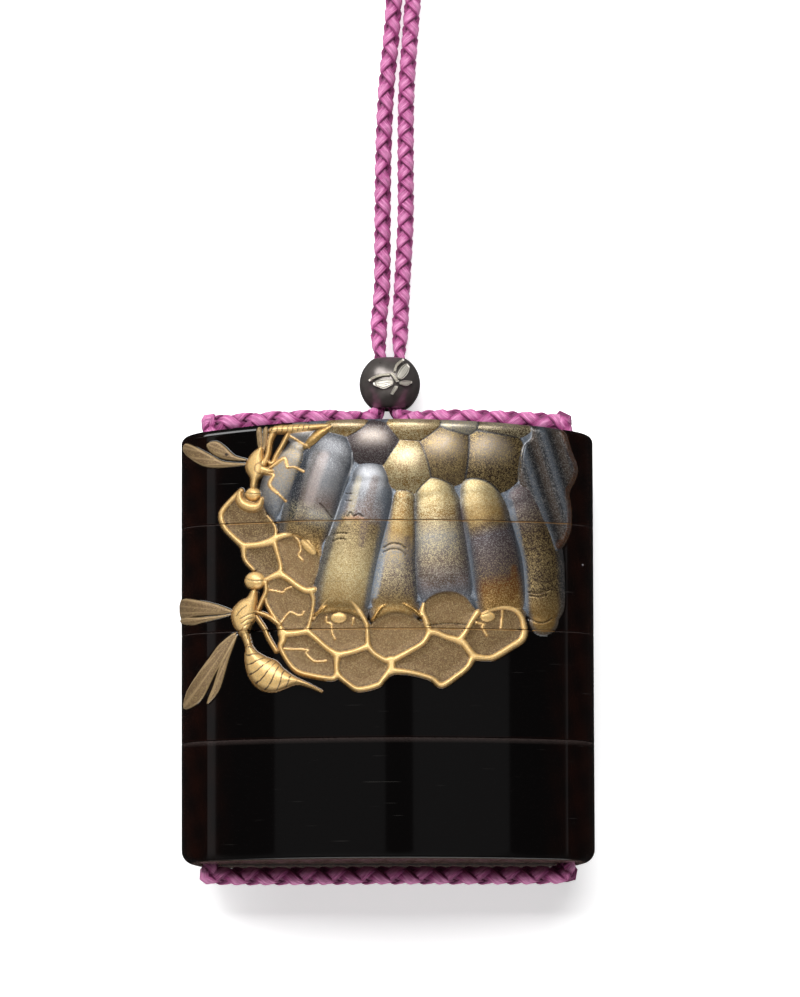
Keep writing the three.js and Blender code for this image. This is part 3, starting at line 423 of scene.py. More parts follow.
# Tints laid over the powder: tone, strength, then (x, y, half width). Most are the powder's own colours;
# the dark strokes on the second long cell's left flank and in two valleys are painted shade, and the thin
# pale line down its right edge is a painted highlight.
TINTS = [
    ("brown", 0.5, [(-10.6, 27.5, 0.9), (-11.4, 24.5, 1.1), (-12.4, 21.0, 1.2), (-13.0, 18.5, 0.9)]),
    ("mauve_light", 0.5, [(-9.6, 27.5, 0.8), (-10.9, 24.0, 0.9), (-11.9, 20.5, 0.8)]),
    # Painted shade down the second long cell's left flank.
    ("shade_blue", 0.95, [(-12.3, 28.2, 0.5), (-13.2, 25.0, 0.8), (-14.0, 21.4, 0.9), (-14.6, 18.4, 0.6)]),
    # Painted highlight: a thin pale line down the second long cell's right edge.
    ("pale", 0.7, [(-5.4, 27.9, 0.12), (-5.5, 25.8, 0.13), (-6.6, 22.8, 0.14), (-7.7, 18.9, 0.12),
                   (-8.9, 15.6, 0.08)]),
    ("mauve", 0.7, [(-1.9, 24.0, 0.6), (-2.7, 21.0, 0.8), (-3.5, 17.5, 0.7), (-4.0, 14.0, 0.5)]),
    ("dust_pale", 0.4, [(-4.4, 24.0, 0.5), (-5.2, 21.0, 0.6), (-6.0, 17.5, 0.5)]),
    ("silver_blue", 0.8, [(-0.8, 13.0, 0.4), (-1.5, 9.5, 0.6), (-2.1, 6.6, 0.6)]),
    ("purple_brown", 0.6, [(2.9, 15.0, 0.5), (3.1, 11.0, 0.8), (3.2, 7.0, 0.9)]),
    ("brown", 0.6, [(5.2, 9.6, 0.8), (7.5, 8.4, 0.9), (9.6, 8.9, 0.8)]),
    ("rust", 0.7, [(18.9, 10.5, 0.5), (18.9, 8.0, 0.7), (18.6, 6.2, 0.5)]),
    ("pale", 0.9, [(29.3, 11.0, 0.08), (29.4, 10.95, 0.08)]),
    # Painted shade in the valley between the second and third long cells.
    ("groove", 0.55, [(-8.1, 16.4, 0.3), (-9.0, 13.5, 0.6), (-10.4, 10.0, 0.6), (-11.0, 8.0, 0.4)]),
    ("blue_grey", 0.7, [(-0.4, 22.0, 0.8), (-0.3, 18.0, 0.9), (-1.1, 13.5, 0.9), (-2.3, 9.0, 0.8),
                        (-3.1, 5.0, 0.5)]),
    ("blue_grey", 0.6, [(-6.2, 24.0, 0.5), (-6.9, 20.0, 0.7), (-8.0, 17.0, 0.5)]),
    # Painted shade in the valley between the fourth and fifth long cells.
    ("groove", 0.6, [(4.1, 20.5, 0.3), (4.0, 16.0, 0.35), (3.8, 11.0, 0.3), (4.3, 5.5, 0.3)]),
    ("blue_grey", 0.7, [(11.6, 17.0, 0.4), (12.2, 12.0, 0.45), (12.8, 7.5, 0.4), (13.3, 4.5, 0.3)]),
    ("purple_brown", 0.6, [(10.7, 19.5, 0.8), (11.1, 14.5, 0.9), (11.5, 10.0, 0.8)]),
    ("blue_grey", 0.8, [(18.3, 20.5, 0.5), (19.5, 15.5, 0.5), (20.4, 10.0, 0.45), (20.8, 4.0, 0.35)]),
    ("copper", 0.5, [(-6.4, 18.0, 0.35), (-5.0, 18.1, 0.4), (-3.8, 17.9, 0.25)]),
]


# ------------------------------------------------------------------ meshes and materials in general


def smooth(points, closed=False, steps=4, level_from=3):
    """A Catmull-Rom curve: each stretch is the cubic that leaves a point along the line between its
    neighbours. The columns from `level_from` on start and end level."""
    p = np.array(points, float)
    first, last = 2 * p[:1] - p[1:2], 2 * p[-1:] - p[-2:-1]
    first[:, level_from:], last[:, level_from:] = p[1, level_from:], p[-2, level_from:]
    ends = (p[-1:], p[:2]) if closed else (first, last)
    p = np.vstack([ends[0], p, ends[1]])
    a, b, c, d = p[:-3, None], p[1:-2, None], p[2:-1, None], p[3:, None]
    t = np.arange(steps)[:, None] / steps
    curve = 0.5 * (2 * b + (c - a) * t + (2 * a - 5 * b + 4 * c - d) * t**2 + (3 * b - a - 3 * c + d) * t**3)
    curve = curve.reshape(-1, p.shape[1])
    return curve if closed else np.vstack([curve, p[-2:-1]])


def ramp(value, low, high):
    """0 below low and 1 above high, with a smooth S between: 3t^2 - 2t^3."""
    t = np.clip((value - low) / (high - low), 0, 1)
    return t * t * (3 - 2 * t)


def loft(rings, start=0):
    """A closed skin through rings of points with the same count: quads from ring to ring, and a fan at each
    end. Its points are numbered from `start` on."""
    rows, columns = rings.shape[:2]
    c = np.arange(columns)
    d = (c + 1) % columns
    r = np.arange(rows - 1)[:, None] * columns
    walls = np.stack([r + c, r + d, r + columns + d, r + columns + c], -1).reshape(-1, 4)
    first, last, top = rows * columns, rows * columns + 1, (rows - 1) * columns
    fans = np.vstack([
        np.stack([d, c, np.full(columns, first)], -1),
        np.stack([top + c, top + d, np.full(columns, last)], -1),
    ])
    points = np.vstack([rings.reshape(-1, 3), rings[0].mean(0), rings[-1].mean(0)])
    return points, (walls + start).tolist() + (fans + start).tolist()


def mesh_object(name, points, faces):
    """A new object in the scene, from points in millimetres."""
    mesh = bpy.data.meshes.new(name)
    mesh.from_pydata(np.asarray(points) * MM, [], faces)
    made = bpy.data.objects.new(name, mesh)
    bpy.context.scene.collection.objects.link(made)
    return made


def points_of(mesh):
    """A mesh's vertices, in millimetres."""
    flat = np.zeros(len(mesh.vertices) * 3)
    mesh.vertices.foreach_get("co", flat)
    return flat.reshape(-1, 3) / MM


def write_attribute(mesh, name, kind, values):
    """Puts one value, or one colour, on each vertex."""
    attribute = mesh.attributes.new(name, kind, "POINT")
    field = "color" if kind == "FLOAT_COLOR" else "value"
    attribute.data.foreach_set(field, np.asarray(values, np.float32).ravel())


def settle(made, body_slot, material, *nodes):
    """Gives a piece its finish, and its place in the frame."""
    made.data.materials.clear()
    made.data.materials.append(material)
    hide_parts(*nodes)
    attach(made, "root")


def add(tree, kind, inputs=None, **settings):
    """A new node with its settings, whose inputs are values or the sockets that feed them."""
    made = tree.nodes.new(kind)
    for name, value in settings.items():
        setattr(made, name, value)
    for name, value in (inputs or {}).items():
        if isinstance(value, bpy.types.NodeSocket):
            tree.links.new(value, made.inputs[name])
        else:
            made.inputs[name].default_value = value
    return made


def new_material(name):
    """An empty node material, its tree and its output node."""
    material = bpy.data.materials.new(name)
    material.use_nodes = True
    tree = material.node_tree
    tree.nodes.clear()
    return material, tree, tree.nodes.new("ShaderNodeOutputMaterial")


# ------------------------------------------------------------------ the relief, as arrays over the front


# The roughness of bare polished lacquer, the metal share of strewn powder, and the finish of plain raised
# gold.
BARE_GLOSS = 0.055
POWDER_METAL = 0.65
GOLD_FINISH = {"flake": "dust_pale", "dust": 0.1, "metal": 0.35, "rough": 0.42}


def widen(points, width):
    """A line's points, all with the same half width."""
    return [(x, y, width) for x, y in points]


class Relief:
    """Height and finish at many places of the front at once, built up layer by layer."""

    def __init__(self, x, y):
        """Bare level lacquer at every place."""
        self.x, self.y = x, y
        self.height, self.second = np.zeros(x.size), np.zeros(x.size)
        self.ground = np.tile(tone("lacquer"), (x.size, 1))
        self.flake = self.ground.copy()
        self.dust, self.metal, self.rough = np.zeros(x.size), np.zeros(x.size), np.full(x.size, BARE_GLOSS)

    def around(self, line, margin):
        """The places inside the box round a line."""
        low, high = line[:, :2].min(0) - margin, line[:, :2].max(0) + margin
        near = (self.x > low[0]) & (self.x < high[0]) & (self.y > low[1]) & (self.y < high[1])
        return np.flatnonzero(near)

    def around_spot(self, x, y, across, along, margin):
        """The places inside the box round an oval."""
        return self.around(np.array([[x - across, y - along], [x + across, y + along]]), margin)

    def nearest(self, where, line):
        """Distance to a polyline, its other columns at the nearest point, the share of the way along, and
        the side: 1 on the left of the line's way and -1 on the right."""
        x, y = self.x[where], self.y[where]
        lengths = np.hypot(*np.diff(line[:, :2], axis=0).T)
        reached = np.concatenate([[0], np.cumsum(lengths)])
        best, side = np.full(x.size, 1e9), np.zeros(x.size)
        values, along = np.zeros((x.size, line.shape[1] - 2)), np.zeros(x.size)
        for i in range(len(line) - 1):
            (x0, y0), (dx, dy) = line[i, :2], line[i + 1, :2] - line[i, :2]
            t = np.clip(((x - x0) * dx + (y - y0) * dy) / max(dx * dx + dy * dy, 1e-12), 0, 1)
            distance = np.hypot(x - x0 - t * dx, y - y0 - t * dy)
            closer = distance < best
            best[closer] = distance[closer]
            values[closer] = line[i, 2:] + t[closer, None] * (line[i + 1, 2:] - line[i, 2:])
            along[closer] = (reached[i] + t[closer] * lengths[i]) / reached[-1]
            side[closer] = np.sign(dx * (y - y0) - dy * (x - x0))[closer]
        return best, values, along, side

    def depth_inside(self, where, outline):
        """How far inside a closed outline each place is, negative outside: an even-odd test gives the
        sign."""
        x, y = self.x[where], self.y[where]
        inside, best = np.zeros(x.size, bool), np.full(x.size, 1e9)
        for (x0, y0), (x1, y1) in zip(outline, np.roll(outline, -1, axis=0)):
            dx, dy = x1 - x0, y1 - y0
            t = np.clip(((x - x0) * dx + (y - y0) * dy) / max(dx * dx + dy * dy, 1e-12), 0, 1)
            best = np.minimum(best, np.hypot(x - x0 - t * dx, y - y0 - t * dy))
            if dy:
                inside ^= ((y0 > y) != (y1 > y)) & (x < x0 + (y - y0) * dx / dy)
        return np.where(inside, best, -best)

    def paint(self, where, share, ground=None, flake=None, dust=None, metal=None, rough=None):
        """Lays a finish over what is there, by a share from 0 to 1 at each place."""
        finish = {"ground": ground, "flake": flake, "dust": dust, "metal": metal, "rough": rough}
        for field, value in finish.items():
            if value is None:
                continue
            under = getattr(self, field)
            over = tone(value) if isinstance(value, str) else value
            weight = share[:, None] if under.ndim > 1 else share
            under[where] += weight * (over - under[where])

    def swell(self, where, height, share, **finish):
        """Raises the surface to a new form wherever that form is higher, and paints it there."""
        higher = (height > self.height[where]) & (share > 0)
        spots = where[higher]
        self.second[where] = np.maximum(self.second[where], np.minimum(self.height[where], height))
        for name, value in finish.items():
            finish[name] = value[higher] if isinstance(value, np.ndarray) else value
        self.paint(spots, share[higher], **finish)
        self.height[spots] = height[higher]

    def ribbon(self, points, height, lift=0.0):
        """A rounded ridge of gold along a line, half an ellipse in section: as high as `height`, or `lift`
        over what is there."""
        line = smooth(points)
        where = self.around(line, line[:, 2].max() + 0.2)
        distance, values, along, side = self.nearest(where, line)
        width = values[:, 0]
        profile = np.clip(1 - (distance / width) ** 2, 0, 1)
        share = ramp(width - distance, -0.17, -0.07)
        if lift:
            level = self.height[where] + lift * profile**0.5
        else:
            level = np.maximum(self.height[where], height * profile**0.5)
        self.height[where] = np.where(share > 0, level, self.height[where])
        # Painted shade: the gold is darker towards the ridge's edges and lighter along its top.
        self.paint(where, share, ground=between("gold_flank_shade", "gold", ramp(profile, 0.0, 0.55)),
                   **GOLD_FINISH)
        return where, distance, width, along, side


def along_tones(stops, along):
    """Ground, flake and dust at each share of the way along a cell, eased between its stops."""
    places = [stop[0] for stop in stops]

    def eased(part):
        """One column of colours, as an array over the places."""
        table = np.array([tone(stop[part]) for stop in stops])
        return np.stack([np.interp(along, places, table[:, i]) for i in range(3)], -1)

    return eased(1), eased(2), np.interp(along, places, [stop[3] for stop in stops])


def lay_nest_body(relief):
    """A low plateau with a soft edge under the whole nest."""
    outline = smooth(NEST_BODY, closed=True, steps=2)
    where = relief.around(outline, 0.5)
    depth = relief.depth_inside(where, outline)
    share = ramp(depth, -0.1, 0.2)
    height = BODY_HEIGHT * ramp(depth, -0.1, 0.6)
    relief.swell(where, height, share, ground="blue_grey", flake="silver", dust=0.3, metal=0.7, rough=0.5)


def lay_closed_cells(relief):
    """Long half-round swellings and short domes, each a parabola across. Where two meet, the higher one
    stands, so the valley between them is a crease, and a dark blue-grey line of painted shade lies along it.
    The long cells' flanks are painted darker as shade, and each dome is painted lighter on its upper side
    as a highlight."""
    for x, y, across, along, height, ground, flake, dust in PADS:
        where = relief.around_spot(x, y, across, along, 0.5 * max(across, along))
        reach = np.hypot((relief.x[where] - x) / across, (relief.y[where] - y) / along)
        dome = height * (1 - 0.5 * reach**2)
        # Painted highlight: each dome is painted lighter towards its upper side and its middle.
        pad_highlight = ramp(relief.y[where] - y, -0.5 * along, 0.8 * along) * ramp(reach, 1.0, 0.3)
        relief.swell(where, dome, ramp(dome, 0.3, 0.4), ground=between(ground, "pad_highlight", 0.6 * pad_highlight), flake=flake,
                     dust=dust, metal=POWDER_METAL, rough=0.4)
    for path, tones in LONG_CELLS:
        line = smooth(path, steps=6, level_from=2)
        where = relief.around(line, 1.3 * line[:, 2].max())
        distance, values, along, _ = relief.nearest(where, line)
        reach = distance / values[:, 0]
        vault = values[:, 1] * (1 - 0.62 * reach**2) * ramp(reach, 1.5, 1.1)
        ground, flake, dust = along_tones(tones, along)
        # Painted shade: the ground darkens towards each long cell's edges, where the flake turns to blue-grey
        # powder.
        flank = 0.7 * ramp(reach, 0.62, 0.95)
        relief.swell(where, vault, ramp(vault, 0.3, 0.4), ground=between(ground, "groove", flank),
                     flake=between(flake, "blue_grey", flank), dust=dust, metal=POWDER_METAL, rough=0.47)
    # Painted shade: a dark blue-grey line along each crease where two cells meet.
    nest = np.flatnonzero(relief.height > 0.3)
    crease = ramp(relief.height[nest] - relief.second[nest], 0.13, 0.02)
    crease *= ramp(relief.height[nest], BODY_HEIGHT + 0.02, BODY_HEIGHT + 0.2)
    relief.paint(nest, 0.8 * crease, ground="shade_blue", flake="blue_grey", dust=0.25)


def lay_slab(relief):
    """The slab's plateau, with two long shallow folds: a cosine across it."""
    outline = smooth(SLAB, closed=True, steps=3)
    where = relief.around(outline, 0.5)
    depth = relief.depth_inside(where, outline)
    lean = relief.x[where] + 0.3 * (relief.y[where] - 24)
    fold = 0.14 * np.cos(lean * 1.7 + 0.6)
    height = (SLAB_HEIGHT + fold) * ramp(depth, -0.15, 0.5) ** 0.6
    share = ramp(depth, -0.1, 0.1)
    relief.swell(where, height, share, ground="slab", flake="grey", dust=0.15, metal=0.6, rough=0.4)
    # Brown stains in the folds' hollows, which also stand as painted shade there, and a painted blue-grey
    # sheen on the folds' crests.
    own = (depth > 0) & (np.abs(relief.height[where] - height) < 1e-9)
    relief.paint(where[own], 0.6 * ramp(-fold, 0.0, 0.14)[own], ground="brown")
    relief.paint(where[own], 0.5 * ramp(fold, 0.04, 0.14)[own], ground="blue_grey")
    for points, name, width in ((SLAB_LEFT_EDGE, "silver", 0.16), (SLAB_RIGHT_EDGE, "rust", 0.8)):
        line = smooth(widen(points, width))
        near = relief.around(line, width)
        distance = relief.nearest(near, line)[0]
        ragged = 1 - 0.35 * np.abs(
            np.sin(2.1 * relief.y[near]) * np.sin(5.3 * relief.y[near] + relief.x[near]))
        inside = ramp(relief.height[near], 0.05, 0.3)
        relief.paint(near, 0.7 * inside * ragged * ramp(width - distance, 0, width * 0.8), ground=name,
                     dust=0.3)


def lay_tints(relief):
    """Thin washes of colour over the powder, strongest on their own lines; a few are painted shade and one
    is a painted highlight.
    """
    for name, strength, points in TINTS:
        line = smooth(points)
        where = relief.around(line, 1.5)
        distance, values, *_ = relief.nearest(where, line)
        share = strength * ramp(1.4 * values[:, 0] - distance, 0, values[:, 0])
        relief.paint(where, share, ground=name, dust=0.2)


def sink_open_cells(relief):
    """Flat floors inside each outline, with a soft wall, a little hollow in the middle, painted darker as
    shade, most near the wall.
    """
    for outline, shade in zip(OPEN_CELLS, CELL_SHADES):
        outline = smooth(outline, closed=True, steps=3)
        where = relief.around(outline, 0.4)
        depth = relief.depth_inside(where, outline)
        share = ramp(depth, -0.12, 0.16)
        floor = CELL_DEPTH + 0.18 * ramp(depth, 1.6, 0.1)
        relief.height[where] += share * (floor - relief.height[where])
        relief.paint(where, share, ground="cell_floor", flake="dust_gold", dust=0.25, metal=0.3, rough=0.6)
        # Painted shade: each floor darker by its own share, and darker still near its wall.
        relief.paint(where, share * shade, ground="floor_shade")
        relief.paint(where, share * 0.5 * ramp(depth, 0.9, 0.3), ground="floor_shade")


def raise_rims(relief):
    """The web of rims: each place takes the deepest ribbon it lies in, and ribbons flow together where they
    meet."""
    level, ease = np.full(relief.x.size, -1.0), 0.22
    for points in RIMS:
        line = smooth(points)
        where = relief.around(line, 0.9)
        distance, values, *_ = relief.nearest(where, line)
        depth, under = values[:, 0] + RIM_SPREAD - distance, level[where]
        level[where] = (
            np.maximum(depth, under) + np.maximum(ease - np.abs(depth - under), 0) ** 2 / (4 * ease))
    where = np.flatnonzero(level > -0.28)
    level = level[where]
    crest = RIM_HEIGHT * np.clip((level + 0.05) / 0.3, 0, 1) ** 0.45
    shown = ramp(level, -0.12, -0.03) * ramp(crest - relief.height[where], -0.45, -0.2)
    # Painted shade: a dark line on the powder at the foot of each rim.
    foot_shade = ramp(level, -0.26, -0.14) * ramp(level, -0.02, -0.1) * ramp(relief.metal[where], 0.05, 0.3)
    relief.paint(where, 0.7 * foot_shade * ramp(0.75 - relief.height[where], 0, 0.2), ground="ink")
    relief.height[where] = np.maximum(relief.height[where], crest)
    # Painted shade: each rim's gold is darker down its flanks and lighter along its crest.
    colour = between("gold_flank_shade", "gold", ramp(level, -0.02, 0.16))
    relief.paint(where, shown, ground=colour, flake="dust_pale", dust=0.12, metal=0.35, rough=0.42)


def raise_lips_and_larvae(relief):
    """Soft amber ridges in two mouths, smooth gold mounds in three cells, and thin gold feelers."""
    for points in LIPS:
        line = smooth(points)
        where = relief.around(line, 1.0)
        distance, values, *_ = relief.nearest(where, line)
        profile = np.clip(1 - (distance / values[:, 0]) ** 2, 0, 1)
        relief.swell(where, LIP_HEIGHT * profile**0.5, ramp(profile, 0, 0.3), ground="amber", flake="gold",
                     dust=0.3, metal=0.75, rough=0.42)
    for x, y, across, along, turn in LARVAE:
        where = relief.around_spot(x, y, across, across, 0.1)
        dx, dy = relief.x[where] - x, relief.y[where] - y
        u = dx * math.cos(turn) + dy * math.sin(turn)
        v = dy * math.cos(turn) - dx * math.sin(turn)
        profile = np.clip(1 - (u / across) ** 2 - (v / along) ** 2, 0, 1)
        relief.height[where] += 0.42 * profile**0.5
        relief.paint(where, ramp(profile, 0, 0.15), ground="gold", **GOLD_FINISH)
    for width, points in FEELERS:
        relief.ribbon(widen(points, width), 0, lift=0.16)


def raise_wasps(relief):
    """Thin leaves for the wings, and ridges for bodies and legs, with engraved lines on them."""
    for outline in WINGS:
        raise_wing(relief, smooth(outline, closed=True, steps=3))
    spot = relief.around_spot(*WING_SPOT, 0, 0, 0.5)
    away = np.hypot(relief.x[spot] - WING_SPOT[0], (relief.y[spot] - WING_SPOT[1]) * 1.3)
    relief.paint(spot, ramp(away, 0.36, 0.2), ground="ink", flake="ink")
    for width, points in THICK_LEGS:
        relief.ribbon(widen(points, width), LEG_HEIGHT)
    for height, points in WASP_BODIES:
        relief.ribbon(points, height)
    for height, rings, points in ABDOMENS:
        where, distance, width, along, side = relief.ribbon(points, height)
        lean = along * rings / 0.75 - 0.35 * (distance / width) ** 2 * side
        line = ramp(np.cos(2 * np.pi * lean), 0.84, 0.97) * ramp(width - distance, 0.02, 0.12)
        fade = ramp(along, 0.74, 0.66)
        relief.height[where] -= 0.07 * line * fade
        relief.paint(where, line * fade, ground="brown", flake="brown")
    for points in BACK_LINES:
        engrave(relief, widen(points, 0.07), 0.07, 0.8)
    relief.ribbon(CRESCENT, 1.2)
    for head in HEADS:
        raise_head(relief, *head)


def raise_wing(relief, outline):
    """A thin leaf with a pale border, and veins that fan from its root to its tip: a cosine of the
    angle."""
    where = relief.around(outline, 0.3)
    depth = relief.depth_inside(where, outline)
    height = WING_HEIGHT * ramp(depth, -0.12, 0.3) ** 0.5
    root, tip = outline[0], outline[np.argmax(np.hypot(*(outline - outline[0]).T))]
    axis = math.atan2(*(tip - root)[::-1])
    fan = np.arctan2(relief.y[where] - root[1], relief.x[where] - root[0]) - axis
    veins = ramp(np.cos(44 * fan), 0.5, 1.0)
    light = np.maximum(0.6 * ramp(depth, 0.24, 0.08), 0.35 * veins)
    relief.swell(where, height, ramp(depth, -0.08, 0.05), ground=between("wing", "wing_edge", light),
                 flake="dust_gold", dust=0.35, metal=0.35, rough=0.5)


def raise_head(relief, x, y, across, along):
    """Half an ellipsoid, with a dark curved split across it."""
    where = relief.around_spot(x, y, across, along, 0.1)
    u, v = (relief.x[where] - x) / across, (relief.y[where] - y) / along
    profile = np.clip(1 - u**2 - v**2, 0, 1)
    split = ramp(np.abs(v + 0.1 - 0.35 * u**2 + 0.1 * u), 0.09, 0.02) * ramp(profile, 0.02, 0.2)
    # Painted shade: the gold is darker round the head's edge and lighter on top.
    colour = between("gold_flank_shade", "gold", ramp(profile, 0.0, 0.4))
    relief.swell(where, 1.35 * profile**0.5 + 0.01, ramp(profile, 0, 0.1), ground=colour, **GOLD_FINISH)
    relief.height[where] -= 0.12 * split
    relief.paint(where, 0.7 * split, ground="ink")


def engrave(relief, points, deep, strength):
    """A hair line cut into what is there."""
    line = smooth(points)
    where = relief.around(line, 0.3)
    distance, values, *_ = relief.nearest(where, line)
    share = ramp(values[:, 0] * 1.6 - distance, 0, values[:, 0])
    relief.height[where] -= deep * share
    relief.paint(where, strength * share, ground="ink", dust=0.1)


def front_relief(x, y):
    """The whole relief at places given as seen square on."""
    relief = Relief(x, y)
    lay_nest_body(relief)
    lay_closed_cells(relief)
    lay_slab(relief)
    lay_tints(relief)
    sink_open_cells(relief)
    raise_rims(relief)
    raise_lips_and_larvae(relief)
    for width, points in CRACKS:
        engrave(relief, widen(points, width), 0.1, 0.8)
    raise_wasps(relief)
    return relief


# ------------------------------------------------------------------ the tiers


def section(angle, inset):
    """The case's section, `inset` inside its outer surface, for a normal leaning `angle` from the front: up
    to FACE_ANGLE it is the broad face's arc, and past it the small arc of the side. Gives x and height over
    the middle."""
    face = np.abs(angle) <= FACE_ANGLE
    radius = np.where(face, FACE_RADIUS, SIDE_RADIUS) - inset
    x = radius * np.sin(angle) + np.where(face, 0, np.sign(angle) * SIDE_CENTRE)
    return x, radius * np.cos(angle) + np.where(face, HALF_DEPTH - FACE_RADIUS, 0)


def angles_round(count):
    """Angles from the left side over the front to the right side, evenly spaced along the section."""
    side = SIDE_RADIUS * (math.pi / 2 - FACE_ANGLE)
    face = 2 * FACE_RADIUS * FACE_ANGLE
    reached = [0, side, side + face, 2 * side + face]
    angles = [-math.pi / 2, -FACE_ANGLE, FACE_ANGLE, math.pi / 2]
    return np.interp(np.linspace(0, reached[-1], count), reached, angles)


def case_ring(front, back, inset, height_at):
    """One ring of the case: the front half from left to right, then the back half from right to left. The
    inset is one number, or one for each point."""
    inset = np.broadcast_to(inset, front.size + back.size - 2)
    x, high = section(front, inset[: front.size])
    x_back, low = section(back[1:-1][::-1], inset[front.size :])
    x = np.concatenate([x, x_back])
    z = np.maximum(AXIS_Z + np.concatenate([high, -low]), 0)
    return np.stack([x, height_at(x), z], -1)


def lid_top_at(x):
    """How far up the lid's domed top reaches at x: a parabola close to the dome's circle."""
    return TOP_Y - x**2 / (2 * LID_DOME_RADIUS)


def level_at(y):
    """A function that gives the same height at every x."""
    return lambda x: np.zeros_like(x) + y


def quarter_round(radius, steps):
    """A rounded edge, as (inset, distance from the end), from the wall to the end: a quarter of a
    circle."""
    turn = np.linspace(0, math.pi / 2, steps + 1)
    return list(zip(radius * (1 - np.cos(turn)), radius * (1 - np.sin(turn))))


def compartment(half_width, inset, low, high):
    """A room inside the case: the face's own curve between two straight sides, carried along Y."""
    radius, steps = FACE_RADIUS - inset, 24

    def height_at(x):
        """Half the room's depth at x."""
        return np.sqrt(radius**2 - x**2) + HALF_DEPTH - FACE_RADIUS

    x = np.linspace(-half_width + CORNER, half_width - CORNER, steps)
    shoulder = height_at(half_width) - CORNER
    height = np.concatenate([[shoulder], height_at(x), [shoulder]])
    x = np.concatenate([[-half_width], x, [half_width]])
    ring = np.stack([np.concatenate([x, x[::-1]]), AXIS_Z + np.concatenate([height, -height[::-1]])], -1)
    return loft(np.stack([np.insert(ring, 1, y, axis=1) for y in (low, high)]))


def channel(x, low, high):
    """A round bore along Y."""
    turn = np.linspace(0, 2 * math.pi, 33)[:-1]
    ring = np.stack([x - CHANNEL_RADIUS * np.cos(turn), turn * 0, AXIS_Z + CHANNEL_RADIUS * np.sin(turn)], -1)
    rings = np.stack([ring, ring])
    rings[0, :, 1], rings[1, :, 1] = low - 1, high + 1
    return loft(rings)


# The rings that close the lid's top, as shares of its edge.
ROOF_RINGS = (0.93, 0.85, 0.75, 0.65, 0.55, 0.45, 0.35, 0.25, 0.15, 0.05, 0.01)


def outside_rings(low, top, base, dome, columns, rows):
    """The outside of a tier, as rings from its lower end to its upper end."""
    front, back = angles_round(columns), angles_round(60)

    def ring(inset, height_at):
        """One ring of this tier."""
        return case_ring(front, back, inset, height_at)

    if base:
        around = np.concatenate([front, back[1:-1][::-1]])
        bend = BASE_EDGE_RADIUS + BASE_CORNER_EXTRA * ramp(np.abs(around), FACE_ANGLE, 1.2)
        rings = [ring(inset * bend, level_at(low + rise * bend)) for inset, rise in quarter_round(1, 7)[::-1]]
        start = low + bend
    else:
        rings = [ring(SEAM_EASE, level_at(low)), ring(0, level_at(low + SEAM_EASE))]
        start = low + SEAM_EASE
    edge = LID_EDGE_RADIUS if dome else SEAM_EASE
    end_at = (lambda x: lid_top_at(x) - edge) if dome else level_at(top - edge)
    for share in np.linspace(0, 1, rows + 1)[1:]:
        rings.append(ring(0, lambda x: start + share * (end_at(x) - start)))
    if not dome:
        return np.stack([*rings, ring(SEAM_EASE, level_at(top))])
    for inset, drop in quarter_round(LID_EDGE_RADIUS, 8)[1:]:
        rings.append(ring(inset, lambda x: lid_top_at(x) - drop))
    rim = rings[-1]
    for share in ROOF_RINGS:
        x = rim[:, 0] * share
        z = AXIS_Z + (rim[:, 2] - AXIS_Z) * share
        rings.append(np.stack([x, lid_top_at(x), z], -1))
    return np.stack(rings)


def carve(whole, tools):
    """Joins solids to a solid and cuts others from it: tools are (operation, points, faces)."""
    helpers = []
    for operation, points, faces in tools:
        helper = mesh_object("cutter", points, faces)
        helpers.append(helper)
        modifier = whole.modifiers.new("carve", "BOOLEAN")
        modifier.operation, modifier.solver, modifier.object = operation, "MANIFOLD", helper
    bpy.context.view_layer.update()
    done = bpy.data.meshes.new_from_object(whole.evaluated_get(bpy.context.evaluated_depsgraph_get()))
    whole.modifiers.clear()
    old, whole.data = whole.data, done
    bpy.data.meshes.remove(old)
    for helper in helpers:
        shape = helper.data
        bpy.data.objects.remove(helper)
        bpy.data.meshes.remove(shape)


def surface_place(points):
    """The lean of the section's normal at each point, and how far inside the section it lies. Both are
    measured from the centre of the broad face's arc, and past FACE_ANGLE from the centre of the side's
    arc."""
    x, height = points[:, 0], points[:, 2] - AXIS_Z
    over_centre = height + FACE_RADIUS - HALF_DEPTH
    face = np.arctan2(x, over_centre)
    side = np.arctan2(x - np.sign(x) * SIDE_CENTRE, height)
    on_face = np.abs(face) <= FACE_ANGLE
    reach = np.where(on_face, np.hypot(x, over_centre), np.hypot(np.abs(x) - SIDE_CENTRE, height))
    return np.where(on_face, face, side), np.where(on_face, FACE_RADIUS, SIDE_RADIUS) - reach


def raise_front(mesh):
    """Pushes the front's vertices out by the relief's height, straight up on the broad face and turning to
    the section's own normals round the sides, and writes the finish of each vertex. On the lid's rounded
    edge the relief thins out towards the top."""
    points = points_of(mesh)
    angle, inset = surface_place(points)
    front = np.flatnonzero((points[:, 2] - AXIS_Z > -1e-6) & (inset < LID_EDGE_RADIUS + 0.02))
    base_x, base_height = section(angle[front], 0)
    sag = LEVEL_SAG * (HALF_DEPTH - base_height)
    relief = front_relief(SEEN_SCALE * base_x + SEEN_SHIFT[0], points[front, 1] - sag + SEEN_SHIFT[1])
    thin = 1 - 0.5 * ramp(inset[front], SEAM_EASE, LID_EDGE_RADIUS)
    lean = angle[front] * ramp(np.abs(angle[front]), FACE_ANGLE, 1.2)
    points[front, 0] += relief.height * thin * np.sin(lean)
    points[front, 2] += relief.height * thin * np.cos(lean)
    mesh.vertices.foreach_set("co", (points * MM).ravel())
    write_finish(mesh, points, front, relief)
    mesh.update()


